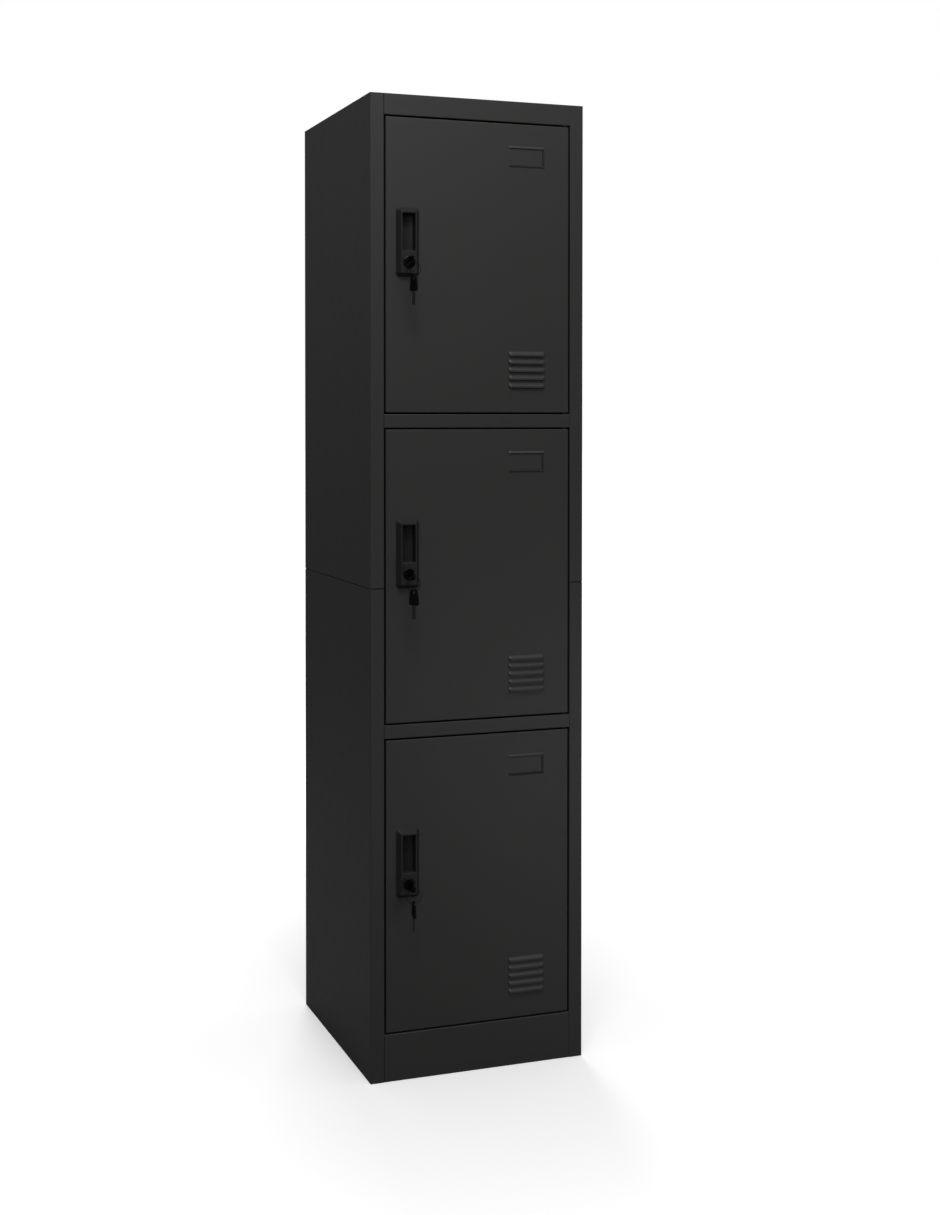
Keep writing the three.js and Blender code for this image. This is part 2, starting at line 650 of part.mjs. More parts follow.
const carcass = new THREE.Group();
const sides = {
  upper: sidePanel(SEAM + FIT / 2, HEIGHT - SHEET - FIT, false),
  lower: sidePanel(0, SEAM - FIT / 2, true),
};
for (const [half, geometry] of Object.entries(sides)) {
  const left = piece(`side_panel_left_${half}`, geometry, steel);
  left.scale.x = -1;
  carcass.add(left, piece(`side_panel_right_${half}`, geometry, steel));
}
carcass.add(
  piece("back_panel_upper", backPanel(SEAM + FIT / 2, HEIGHT - SHEET - FIT, SEAM + FIT / 2), steel),
  piece("back_panel_lower", backPanel(0, SEAM - FIT / 2, SEAM - FIT / 2 - SHEET), steel),
  piece("top_panel", topPanel(), steel),
  piece("shelf_upper", shelf(railUnder(0)), steel),
  piece("shelf_lower", shelf(railUnder(1)), steel),
  piece("bottom_panel", bottomPanel(), steel),
  piece("plinth", plinth(), steel),
);
lockerNames.forEach((name, locker) => {
  const sill = openingBase(locker);
  carcass.add(
    piece(`hinge_bush_upper_${name}`, hingeBush(sill + OPENING, -1), nylon),
    piece(`hinge_bush_lower_${name}`, hingeBush(sill, 1), nylon),
    piece(`door_bumper_${name}`, bumper(locker), rubber),
  );
});

const doorGeometry = doorPanel();
const stiffenerGeometry = stiffener();
const pinGeometry = { upper: hingePin(DOOR_HEIGHT, 1), lower: hingePin(0, -1) };
const pullGeometry = pull();
const lockGeometry = {
  barrel: lockBarrel(),
  nut: lockNut(),
  plug: lockPlug(),
  cam: cam(),
  screw: camScrew(),
};
const keyGeometry = key();
const ringGeometry = keyRing();

// One locker's door with everything on it.
function door(name, locker) {
  const group = new THREE.Group();
  group.position.set(DOOR_LEFT, 0, openingBase(locker) + GAP);
  group.add(
    piece(`door_panel_${name}`, doorGeometry, steel),
    piece(`door_stiffener_${name}`, stiffenerGeometry, steel),
    piece(`hinge_pin_upper_${name}`, pinGeometry.upper, blackMetal),
    piece(`hinge_pin_lower_${name}`, pinGeometry.lower, blackMetal),
  );
  const face = piece(`pull_handle_${name}`, pullGeometry, pullPlastic);
  face.position.set(OPEN_EDGE, 0, PULL_BASE);

  const lock = new THREE.Group();
  lock.position.set(OPEN_EDGE, 0, PULL_BASE + LOCK_HEIGHT);
  lock.add(
    piece(`lock_barrel_${name}`, lockGeometry.barrel, blackMetal),
    piece(`lock_nut_${name}`, lockGeometry.nut, zinc),
    piece(`lock_plug_${name}`, lockGeometry.plug, blackMetal),
    piece(`lock_cam_${name}`, lockGeometry.cam, zinc),
    piece(`cam_screw_${name}`, lockGeometry.screw, zinc),
  );

  // the key in the lock, the ring through its head, and the spare key that hangs on the ring
  const inserted = piece(`key_${name}`, keyGeometry, blackPlastic);
  inserted.position.y = -HOLE_FRONT;
  const ring = piece(`key_ring_${name}`, ringGeometry, blackMetal);
  ring.position.set(0, -HOLE_FRONT, -RING_DROP - RING_RADIUS);
  ring.rotation.z = THREE.MathUtils.degToRad(RING_YAW[locker]);
  const spare = piece(`spare_key_${name}`, keyGeometry, blackPlastic);
  spare.position.set(0, -HOLE_FRONT, -2 * (RING_DROP + RING_RADIUS));
  spare.rotation.order = "ZYX";
  spare.rotation.x = -Math.PI / 2; // blade down
  spare.rotation.z = THREE.MathUtils.degToRad(SPARE_YAW[locker]);
  lock.add(inserted, ring, spare);
  group.add(face, lock);
  return group;
}

const cabinet = new THREE.Group();
cabinet.add(carcass, ...lockerNames.map(door));

// The keys stand out in front, so the group moves back until its footprint is centred on the origin.
const extent = new THREE.Box3().setFromObject(cabinet, true);
cabinet.position.y = -(extent.min.y + extent.max.y) / 2;

export default cabinet;
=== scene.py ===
import math

import bpy
import numpy as np
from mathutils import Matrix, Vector


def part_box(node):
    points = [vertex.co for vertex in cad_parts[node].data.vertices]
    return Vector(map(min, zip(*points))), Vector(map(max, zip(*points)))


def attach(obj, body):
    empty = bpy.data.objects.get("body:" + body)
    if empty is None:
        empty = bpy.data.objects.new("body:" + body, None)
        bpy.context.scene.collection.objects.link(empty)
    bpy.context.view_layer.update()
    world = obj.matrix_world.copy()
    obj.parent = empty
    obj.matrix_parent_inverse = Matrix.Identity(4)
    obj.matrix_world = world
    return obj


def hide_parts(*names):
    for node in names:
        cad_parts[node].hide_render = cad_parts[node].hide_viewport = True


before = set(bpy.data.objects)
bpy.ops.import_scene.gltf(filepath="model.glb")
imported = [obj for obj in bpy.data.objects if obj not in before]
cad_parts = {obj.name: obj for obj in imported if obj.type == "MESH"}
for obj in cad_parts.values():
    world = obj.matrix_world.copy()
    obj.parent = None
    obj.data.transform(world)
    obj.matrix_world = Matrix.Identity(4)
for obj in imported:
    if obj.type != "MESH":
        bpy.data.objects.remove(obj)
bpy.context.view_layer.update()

# The looks of a steel locker cabinet with three doors. Shapes are worked out in millimetres, x from the
# middle of the cabinet, y back from the front face, z up from the floor, and written to the pieces in metres.

# ---- Sizes, in millimetres ----
WIDTH, DEPTH, HEIGHT = 420.0, 450.0, 1800.0
SHEET, FIT = 0.7, 0.2
OPENING, PLINTH, RAIL, TOP_RAIL = 541.5, 87.0, 25.0, 38.5
STILE, GAP, SEAM = 26.5, 3.0, 903.0
STRIKE_DEPTH, STRIKE, RAIL_STRIKE = 22.0, 10.0, 8.0
FLANGE, REAR_FLANGE, FOOT_FLANGE, SPLICE = 15.0, 16.0, 20.0, 20.0
DOOR_DEPTH, DOOR_RETURN = 18.0, 12.0
OPEN_EDGE, PIVOT_IN, PIVOT_BACK = 41.5, 7.0, 6.0
VENT_FROM, VENT_LENGTH, VENT_COUNT, VENT_PITCH = 240.5, 71.5, 5, 14.6
VENT_BASE, VENT_HEIGHT, VENT_PROUD = 46.5, 10.0, 4.0
CARD_BASE, CARD_HEIGHT, CARD_LIP, CARD_PROUD, CARD_STEP = 454.7, 40.4, 4.2, 2.0, 3.8
PULL_BASE, PULL_WIDTH, PULL_HEIGHT, PULL_PROUD, PULL_BEVEL = 246.0, 44.0, 126.0, 10.0, 6.5
CUP_WIDTH, CUP_HEIGHT, CUP_FROM, CUP_WALL, CUP_SLOPE = 25.0, 69.0, 47.0, 2.0, 8.0
LOCK_HEIGHT, PULL_BODY = 26.5, 13.0
BARREL_RADIUS, BARREL_HEAD_RADIUS, BARREL_HEAD, BARREL_END = 8.5, 11.2, 1.5, 19.0
PLUG_RADIUS, COLLAR_RADIUS, LOCK_PLAY = 6.0, 7.6, 0.3
CAM_FRONT, CAM_BACK, CAM_WIDTH, CAM_REACH = 23.5, 25.5, 15.0, 42.0
KEY_HEAD_LENGTH, KEY_HEAD_WIDTH, KEY_END_WIDTH, KEY_THICKNESS = 30.0, 22.0, 15.0, 3.0
KEY_HOLE_IN, KEY_HOLE_RADIUS, BLADE_LENGTH, BLADE_WIDTH = 6.5, 3.2, 25.0, 8.0
RING_RADIUS, WIRE_RADIUS, RING_DROP = 13.5, 0.9, 1.8
RING_YAW, SPARE_YAW = (6.0, 12.0, -4.0), (18.0, 32.0, -2.0)
SEAM_GAP = 0.8  # how far each side sheet is drawn back from the seam
SPLICE_BACK = 2.4  # how far the plates behind the seam stand back
FOLD, FOLD_STEPS = 0.8, 5  # inside radius of a fold, and the flats in its curve
END_EASE, CORNER_STEPS = 0.15, 3  # how far a sheet's outer face eases in at its ends; flats in a small corner
LOCKERS = ("top", "middle", "bottom")

PAPER_GLOW, PAPER_TONE = 0.17, 0.95  # how pale the floor is to the cabinet, and how pale it looks
PAPER_REACH, PAPER_LIGHT = (0.4, 2.2), (0.32, 0.76)  # metres from the cabinet, and its own light there
FLOOR_REACH = 80  # metres
SKY_HEIGHTS, SKY_LIGHT = (-0.1, 0.9), (0.1, 0.45)  # from level to overhead
# Each softbox: its name, where it stands, what it is aimed at, its size and its watts.
SOFTBOXES = (
    ("overhead", (-0.4, -1.5, 3.4), (0.0, -0.3, 0.0), (0.9, 0.8), 32),
    ("front", (0.2, -3.2, 3.0), (0.0, 0.0, 1.5), (1.6, 1.2), 10),
    ("low fill", (0.9, -1.7, 0.3), (0.0, 0.0, 0.3), (0.8, 0.4), 1.7),
    ("behind", (0.45, 2.6, 2.8), (0.0, 0.0, 0.8), (1.0, 1.2), 36),
)

# The camera, in metres and degrees, with y from the front face.
EYE, YAW, PITCH = (-1.1210, -2.9209, 1.2142), 19.614, 1.09
LENS, SHIFT = 50.14, (0.0264, -0.13)

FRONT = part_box("side_panel_left_lower")[0].y * 1000
INSIDE = WIDTH / 2 - SHEET - FIT
BETWEEN = WIDTH / 2 - STILE - FIT
BACK_FRONT = DEPTH - 2 * SHEET - FIT
BEHIND_STILE = STRIKE_DEPTH + SHEET + FIT
DOOR_WIDTH = WIDTH - 2 * STILE - 2 * GAP
DOOR_HEIGHT = OPENING - 2 * GAP
DOOR_LEFT = -WIDTH / 2 + STILE + GAP
VENT_END = VENT_FROM + VENT_LENGTH
CARD_TOP = CARD_BASE + CARD_HEIGHT
CARD_OPENING = CARD_BASE + CARD_LIP, CARD_TOP - CARD_LIP
LOCK_FACE = PULL_PROUD + LOCK_PLAY + BARREL_HEAD
HOLE_FRONT = LOCK_FACE + 1 + KEY_HEAD_LENGTH - KEY_HOLE_IN


def opening_base(locker):
    return PLINTH + (len(LOCKERS) - 1 - locker) * (OPENING + RAIL)


# ---- Surfaces ----
def placed(name, data):
    made = bpy.data.objects.new(name, data)
    bpy.context.scene.collection.objects.link(made)
    return made


class Skin:
    """Closed surfaces gathered into one piece. Each one is points with rows of point numbers: a face fills
    each square between two rows, and a number that repeats in a square makes it a triangle."""

    def __init__(self, *surface):
        self.points, self.faces, self.total = [], [], 0
        if surface:
            self.add(*surface)

    def add(self, points, grids, squares=None):
        points = np.asarray(points, float).reshape(-1, 3)
        faces = [] if squares is None else [squares]
        for grid in map(np.asarray, grids):
            square = np.stack([grid[:-1, :-1], grid[:-1, 1:], grid[1:, 1:], grid[1:, :-1]], -1)
            faces.append(square.reshape(-1, 4))
        faces = np.vstack(faces)
        a, b, c, d = (points[faces[:, k]] for k in range(4))
        if (np.cross(a, b) * c).sum() + (np.cross(a, c) * d).sum() < 0:
            faces = faces[:, ::-1]
        self.points.append(points)
        self.faces.append(faces + self.total)
        self.total += len(points)
        return self

    def joined(self, other):
        """This skin with another one's surfaces added."""
        self.points += other.points
        self.faces += [faces + self.total for faces in other.faces]
        self.total += other.total
        return self

    def moved(self, turn=None, shift=(0, 0, 0), mirror=False):
        """A copy turned by a 3 by 3 matrix, mirrored left to right if asked, and shifted."""
        made = Skin()
        made.faces = [faces[:, ::-1] if mirror else faces for faces in self.faces]
        for points in self.points:
            points = points if turn is None else points @ np.asarray(turn).T
            points = points * (-1, 1, 1) if mirror else points
            made.points.append(points + np.array(shift, float))
        made.total = self.total
        return made

    def piece(self, name, body, material, replaces=None, sharp=32):
        """Writes the surfaces as one piece that rides on a body, in place of its plainer solid."""
        points, faces = np.vstack(self.points) + (0, FRONT, 0), np.vstack(self.faces)
        kept = faces != np.roll(faces, 1, axis=1)
        whole = kept.sum(1) > 2
        faces, kept = faces[whole], kept[whole]
        counts = kept.sum(1)
        mesh = bpy.data.meshes.new(name)
        mesh.vertices.add(len(points))
        mesh.vertices.foreach_set("co", (points * 0.001).ravel())
        mesh.loops.add(counts.sum())
        mesh.loops.foreach_set("vertex_index", faces[kept])
        mesh.polygons.add(len(counts))
        mesh.polygons.foreach_set("loop_start", np.cumsum(counts) - counts)
        mesh.update(calc_edges=True)
        mesh.validate()
        mesh.polygons.foreach_set("use_smooth", np.ones(len(mesh.polygons), bool))
        mesh.set_sharp_from_angle(angle=math.radians(sharp))
        mesh.materials.append(material)
        piece = placed(name, mesh)
        weighted = piece.modifiers.new("flat faces stay flat", "WEIGHTED_NORMAL")
        weighted.keep_sharp = True
        weighted.weight = 100
        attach(piece, body)
        if replaces:
            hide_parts(*replaces)
        return piece


def curve(start, corner, end, steps):
    """Points on a curve that leaves a start towards a corner and comes from the corner to an end."""
    start, corner, end = (np.asarray(p, float) for p in (start, corner, end))
    t = np.linspace(0, 1, steps + 1)[:, None]
    return start * (1 - t) ** 2 + corner * 2 * t * (1 - t) + end * t**2


def numbered(rows, columns):
    return np.arange(rows * columns).reshape(rows, columns)


def around(grid):
    """A grid whose last column runs into its first."""
    return np.hstack([grid, grid[:, :1]])


def bent(path, inside=FOLD):
    """The two faces of a sheet folded along a path in a plane, as matching lists of points: the path with
    each corner turned into an arc, and the same arcs at the sheet's thickness to the right of the path."""
    path = [np.array(p, float) for p in path]
    near, far = [], []

    def right(along):
        return np.array([along[1], -along[0]])

    ways = [(b - a) / np.linalg.norm(b - a) for a, b in zip(path, path[1:])]
    for i, point in enumerate(path):
        before, after = ways[max(i - 1, 0)], ways[min(i, len(ways) - 1)]
        turn = before[0] * after[1] - before[1] * after[0]
        if i in (0, len(path) - 1) or abs(turn) < 1e-6:
            near.append(point)
            far.append(point + right(after) * SHEET)
            continue
        side, angle = -1 if turn > 0 else 1, math.atan2(turn, before @ after)
        radius = inside + SHEET if side > 0 else inside
        reach = radius * math.tan(abs(angle) / 2)
        centre = point - before * reach + right(before) * radius * side
        start, a = -right(before) * side, angle * np.arange(FOLD_STEPS + 1)[:, None] / FOLD_STEPS
        out = start * np.cos(a) - right(start) * np.sin(a)
        near.extend(centre + out * radius)
        far.extend(centre + out * (radius - side * SHEET))
    return np.array(near), np.array(far)


def folded(near, far, along, axes="yzx"):
    """A folded sheet carried along an axis. near and far are the section's two faces, one row of points for
    each station, and along says where each point of each station lies. axes names the two section axes and
    the one it is carried along."""
    along = np.asarray(along, float)
    stations, count = along.shape
    near = np.broadcast_to(near, (stations, count, 2))
    far = np.broadcast_to(far, (stations, count, 2))
    section = np.concatenate([near, far[:, ::-1]], 1)
    place = np.concatenate([along, along[:, ::-1]], 1)
    points = np.zeros((stations, 2 * count, 3))
    for value, axis in zip((section[..., 0], section[..., 1], place), axes):
        points[..., "xyz".index(axis)] = value
    grid = numbered(stations, 2 * count)
    ends = [np.vstack([row[:count], row[: count - 1 : -1]]) for row in (grid[0], grid[-1])]
    return points, [around(grid), ends[0][::-1], ends[1]]


def carried(path, start, end, axes="yzx", width=None):
    """A folded sheet of constant section between two ends, whose outer face eases in at both ends. width,
    where given, turns a section point into the half width of the sheet there, about the middle."""
    near, far = bent(path)
    if width is None:
        low, high = np.full(len(near), float(start)), np.full(len(near), float(end))
    else:
        high = np.array([width(point) for point in near])
        low = -high
    along = np.array([low, low + END_EASE, high - END_EASE, high])
    inset = near + (far - near) * END_EASE / SHEET
    faces = np.array([inset, near, near, inset])
    return folded(faces, np.broadcast_to(far, faces.shape), along, axes)


def even_angles(count):
    return np.arange(count) * 2 * math.pi / count


def stacked(loops, wrap=False):
    """A surface through a list of closed loops that match point for point. It runs back to the first loop if
    wrap is set, and otherwise closes on the middle of the first and last loops."""
    loops = np.asarray(loops, float)
    count, size = loops.shape[:2]
    grid = numbered(count, size)
    if wrap:
        return loops.reshape(-1, 3), [around(np.vstack([grid, grid[:1]]))]
    points = np.vstack([loops.reshape(-1, 3), loops[0].mean(0), loops[-1].mean(0)])
    first, last = np.full((1, size), count * size), np.full((1, size), count * size + 1)
    return points, [around(np.vstack([first, grid, last]))]


def turned(profile, centre=(0, 0, 0), axis="y", sides=48, wrap=False):
    """A round piece: each step of a profile, a radius and a place along the axis, carried round the axis. A
    radius may be one value for each side of the circle."""
    angle = even_angles(sides)
    first, second = (k for k in range(3) if "xyz"[k] != axis)
    loops = np.zeros((len(profile), sides, 3))
    for loop, (radius, place) in zip(loops, profile):
        loop[:, first], loop[:, second] = np.cos(angle) * radius, np.sin(angle) * radius
        loop[:, "xyz".index(axis)] = place
    return stacked(loops + np.array(centre, float), wrap)


def softened(corners, radius=0.3):
    """A profile with its inner corners rounded: each becomes a curve between points on its two sides."""
    corners = [np.array(c, float) for c in corners]
    made = [corners[0]]
    for before, corner, after in zip(corners, corners[1:], corners[2:]):
        reach = [min(radius, np.linalg.norm(p - corner) * 0.45) for p in (before, after)]
        start = corner + (before - corner) / np.linalg.norm(before - corner) * reach[0]
        end = corner + (after - corner) / np.linalg.norm(after - corner) * reach[1]
        made.extend(curve(start, corner, end, CORNER_STEPS))
    return np.array(made + [corners[-1]])


def pierced(xs, zs, front, back, keep, slits=(), warp=None):
    """A plate over a grid in x and z, between a front and a back face that are functions of x and z. Cells
    where keep is false are left out. The plate parts along each slit, given as an axis, a place on it and the
    range it runs over: its points are doubled, and the functions are taken just to either side. warp moves
    points within the plane. Returns the points, the squares, and the rim's point numbers and four lengths."""
    last_i, last_j = len(xs) - 1, len(zs) - 1
    i, j = (v.ravel() for v in np.meshgrid(np.arange(last_i), np.arange(last_j), indexing="ij"))
    kept = keep((xs[i] + xs[i + 1]) / 2, (zs[j] + zs[j + 1]) / 2)
    i, j = i[kept, None] + np.array([0, 1, 1, 0]), j[kept, None] + np.array([0, 0, 1, 1])
    x, z = xs[i], zs[j]
    across, level = np.zeros(x.shape, bool), np.zeros(x.shape, bool)
    for axis, place, low, high in slits:
        if axis == "x":
            across |= (abs(x - place) < 1e-4) & (z > low) & (z < high)
        else:
            level |= (abs(z - place) < 1e-4) & (x > low) & (x < high)
    right, up = across * np.array([1, -1, -1, 1]), level * np.array([1, 1, -1, -1])
    codes, cells = np.unique(((i * (last_j + 1) + j) * 3 + right + 1) * 3 + up + 1, return_inverse=True)
    cells, count = cells.reshape(-1, 4), len(codes)
    i, j = np.divmod(codes // 9, last_j + 1)
    x, z, right, up = xs[i], zs[j], codes // 3 % 3 - 1, codes % 3 - 1
    depths = [face(x + right * 1e-5, z + up * 1e-5) for face in (front, back)]
    if warp:
        x, z = warp(x, z)
    points = np.vstack([np.column_stack([x, depth, z]) for depth in depths])

    edges = np.stack([cells, np.roll(cells, -1, axis=1)], -1).reshape(-1, 2)
    alone = ~np.isin(edges[:, 0] * count + edges[:, 1], edges[:, 1] * count + edges[:, 0])
    a, b = edges[alone].T
    rim = [(v[a] == v[b]) & (v[a] % last == 0) for v, last in ((i, last_i), (j, last_j))]
    a, b = a[~(rim[0] | rim[1])], b[~(rim[0] | rim[1])]
    squares = np.vstack([cells, cells[:, ::-1] + count, np.stack([b, a, a + count, b + count], -1)])

    lengths = [last_i, last_j, last_i, last_j]
    rim_i = [np.arange(last_i), np.full(last_j, last_i), np.arange(last_i, 0, -1), np.zeros(last_j, int)]
    rim_j = [np.zeros(last_i, int), np.arange(last_j), np.full(last_i, last_j), np.arange(last_j, 0, -1)]
    rim = (np.concatenate(rim_i) * (last_j + 1) + np.concatenate(rim_j)) * 9 + 4
    return points, squares, np.searchsorted(codes, rim), lengths


def rimmed(plate, profile, steps=5):
    """Closes a pierced plate, from the rim of its front face to the rim of its back face, through a profile
    of steps, each a distance outwards from the rim and a depth. Corners fan out where the profile is outside
    the rim, and stay square where it is inside."""
    points, squares, rim, lengths = plate
    side = np.repeat(np.arange(4), lengths)
    corners = np.cumsum([0, *lengths[:3]])
    times = np.ones(len(rim), int)
    times[corners] = steps + 1
    take = np.repeat(np.arange(len(rim)), times)
    step = np.arange(len(take)) - (np.cumsum(times) - times)[take]
    angle = math.pi / 2 * (side[take] - 1 - np.isin(take, corners) * (1 - step / steps))
    facing = np.array([[0, -1], [1, 0], [0, 1], [-1, 0]])
    square = facing[side]
    square[corners] += facing[side[corners] - 1]
    base, fan = points[rim][:, [0, 2]], np.column_stack([np.cos(angle), np.sin(angle)])
    rows, made, total = [rim[take]], [points], len(points)
    for out, depth in profile:
        place = base[take] + fan * out if out > 0 else base + square * out
        rows.append(total + (np.arange(len(take)) if out > 0 else take))
        made.append(np.column_stack([place[:, 0], np.full(len(place), depth), place[:, 1]]))
        total += len(place)
    rows.append(rim[take] + len(points) // 2)
    return np.vstack(made), [around(np.array(rows))[::-1]], squares


# ---- Materials ----
def effect(name, build, outputs, **inputs):
    """A shader node group with named sockets. build(nodes, link, start, end) fills it in."""
    group = bpy.data.node_groups.new(name, "ShaderNodeTree")
    labels = [("INPUT", label.replace("_", " "), value) for label, value in inputs.items()]
    for way, label, value in [*labels, *(("OUTPUT", label, None) for label in outputs)]:
        kind = "NodeSocketColor" if label == "Color" else "NodeSocketFloat"
        socket = group.interface.new_socket(label, in_out=way, socket_type=kind)
        if way == "INPUT":
            socket.default_value = value
    start, end = group.nodes.new("NodeGroupInput"), group.nodes.new("NodeGroupOutput")
    build(group, group.links.new, start.outputs, end.inputs)
    return group


def node(tree, kind, **values):
    made = tree.nodes.new(kind)
    for key, value in values.items():
        if hasattr(made, key):
            setattr(made, key, value)
        else:
            made.inputs[key.replace("_", " ")].default_value = value
    return made


def set_inputs(made, values):
    for label, value in values.items():
        made.inputs[label.replace("_", " ")].default_value = value


def feed(link, term, socket):
    """Sets a socket to a number, or links it to what gives the number."""
    if isinstance(term, (int, float)):
        socket.default_value = term
    else:
        link(term, socket)


def noise(tree, link, scale, detail=2.0, stretch=None):
    """Noise over the piece's own coordinates, in metres."""
    place = node(tree, "ShaderNodeTexCoord").outputs["Object"]
    if stretch:
        mapping = node(tree, "ShaderNodeMapping", Scale=stretch)
        link(place, mapping.inputs["Vector"])
        place = mapping.outputs["Vector"]
    made = node(tree, "ShaderNodeTexNoise", Detail=detail)
    link(place, made.inputs["Vector"])
    feed(link, scale, made.inputs["Scale"])
    return made.outputs["Fac"]


def arithmetic(tree, link, operation, *terms):
    made = node(tree, "ShaderNodeMath", operation=operation)
    for term, socket in zip(terms, made.inputs):
        feed(link, term, socket)
    return made.outputs[0]


def varied(tree, link, cloud, amount, middle):
    """A value that a cloud of noise moves about a middle, by an amount from its lowest to its highest."""
    away = arithmetic(tree, link, "SUBTRACT", cloud, 0.5)
    return arithmetic(tree, link, "MULTIPLY_ADD", away, amount, middle)


def toned(tree, link, color, cloud, amount, out):
    """A colour that a cloud of noise makes lighter and darker by an amount."""
    mix = node(tree, "ShaderNodeVectorMath", operation="SCALE")
    link(color, mix.inputs[0])
    link(varied(tree, link, cloud, amount, 1.0), mix.inputs["Scale"])
    link(mix.outputs[0], out)


def powder_coat(tree, link, start, end):
    """A cured powder finish: a tone that drifts slowly over a panel, a fine orange peel, and the slight waves
    of thin sheet. Height is in millimetres."""
    drift = noise(tree, link, start["Drift Scale"], 3.0, (1.0, 1.0, 0.45))
    toned(tree, link, start["Color"], drift, start["Drift"], end["Color"])
    cloud = noise(tree, link, 38.0, 4.0)
    link(varied(tree, link, cloud, start["Variation"], start["Roughness"]), end["Roughness"])
    peel = arithmetic(tree, link, "MULTIPLY", noise(tree, link, start["Peel Scale"], 1.5), start["Peel"])
    wave = arithmetic(tree, link, "MULTIPLY", noise(tree, link, 5.0, 1.0, (1.0, 1.0, 0.5)), start["Wave"])
    link(arithmetic(tree, link, "ADD", peel, wave), end["Height"])


def moulded(tree, link, start, end):
    """The fine even grain that a textured mould leaves. Height is in millimetres."""
    grain = noise(tree, link, start["Grain Scale"], 2.0)
    link(arithmetic(tree, link, "MULTIPLY", grain, start["Grain"]), end["Height"])
    link(varied(tree, link, noise(tree, link, 60.0, 3.0), 0.12, start["Roughness"]), end["Roughness"])


def plated(tree, link, start, end):
    """Plated metal: a cloudy tone, and fine lines left by tumbling or turning. Height is in millimetres."""
    cloud = noise(tree, link, 220.0, 4.0)
    toned(tree, link, start["Color"], cloud, start["Cloud"], end["Color"])
    link(arithmetic(tree, link, "MULTIPLY_ADD", cloud, 0.16, start["Roughness"]), end["Roughness"])
    lines = noise(tree, link, 1500.0, 2.0, (1.0, 0.15, 1.0))
    link(arithmetic(tree, link, "MULTIPLY", lines, start["Lines"]), end["Height"])


OUTPUTS = ["Color", "Roughness", "Height"]
POWDER = effect(
    "powder coat",
    powder_coat,
    OUTPUTS,
    Color=(0.03, 0.03, 0.03, 1),
    Roughness=0.5,
    Variation=0.08,
    Drift=0.14,
    Drift_Scale=3.0,
    Peel=0.02,
    Peel_Scale=750.0,
    Wave=0.35,
)
MOULDED = effect("moulded grain", moulded, OUTPUTS[1:], Grain=0.012, Grain_Scale=1800.0, Roughness=0.5)
PLATED = effect(
    "plated metal", plated, OUTPUTS, Color=(0.5, 0.5, 0.5, 1), Roughness=0.3, Cloud=0.3, Lines=0.004
)


def material(slot, group, settings, color=None, name=None, **shader):
    """A surface whose colour, roughness and relief come from an effect group, with its even values set."""
    made = bpy.data.materials.new(name or f"{slot}_finish")
    made["slot"] = slot
    made.use_nodes = True
    tree = made.node_tree
    link, surface = tree.links.new, tree.nodes["Principled BSDF"]
    look = node(tree, "ShaderNodeGroup", node_tree=group)
    set_inputs(look, settings)
    relief = node(tree, "ShaderNodeBump", Distance=0.001)
    link(look.outputs["Height"], relief.inputs["Height"])
    link(relief.outputs["Normal"], surface.inputs["Normal"])
    link(look.outputs["Roughness"], surface.inputs["Roughness"])
    if "Color" in look.outputs:
        link(look.outputs["Color"], surface.inputs["Base Color"])
    else:
        surface.inputs["Base Color"].default_value = color
    set_inputs(surface, shader)
    made.diffuse_color = color or settings["Color"]
    return made


def grey(value, warm=0.0):
    return (value * (1 + warm), value, value * (1 - warm), 1)


steel = material("steel", POWDER, {"Color": grey(0.034, 0.02), "Roughness": 0.46}, Specular_IOR_Level=0.45)
pull_grain = {"Grain": 0.02, "Roughness": 0.42}
pull_plastic = material(
    "pull_plastic", MOULDED, pull_grain, color=grey(0.016, 0.01), Specular_IOR_Level=0.35
)
black_plastic = material(
    "black_plastic", MOULDED, {"Roughness": 0.36}, color=grey(0.003), Specular_IOR_Level=0.16
)
blackened = {"Color": grey(0.006), "Roughness": 0.26, "Cloud": 0.2}
black_metal = material("black_metal", PLATED, blackened, Metallic=0.5, Specular_IOR_Level=0.2)
bright = {"Color": grey(0.1), "Roughness": 0.28, "Cloud": 0.2}
key_steel = material("black_metal", PLATED, bright, name="key_steel", Metallic=1.0)
zinc = material("zinc", PLATED, {"Color": grey(0.42, 0.01), "Roughness": 0.3}, Metallic=1.0)
nylon = material("nylon", MOULDED, {"Grain": 0.006, "Roughness": 0.45}, color=grey(0.012))
rubber = material("rubber", MOULDED, {"Grain": 0.03, "Roughness": 0.8}, color=grey(0.012))


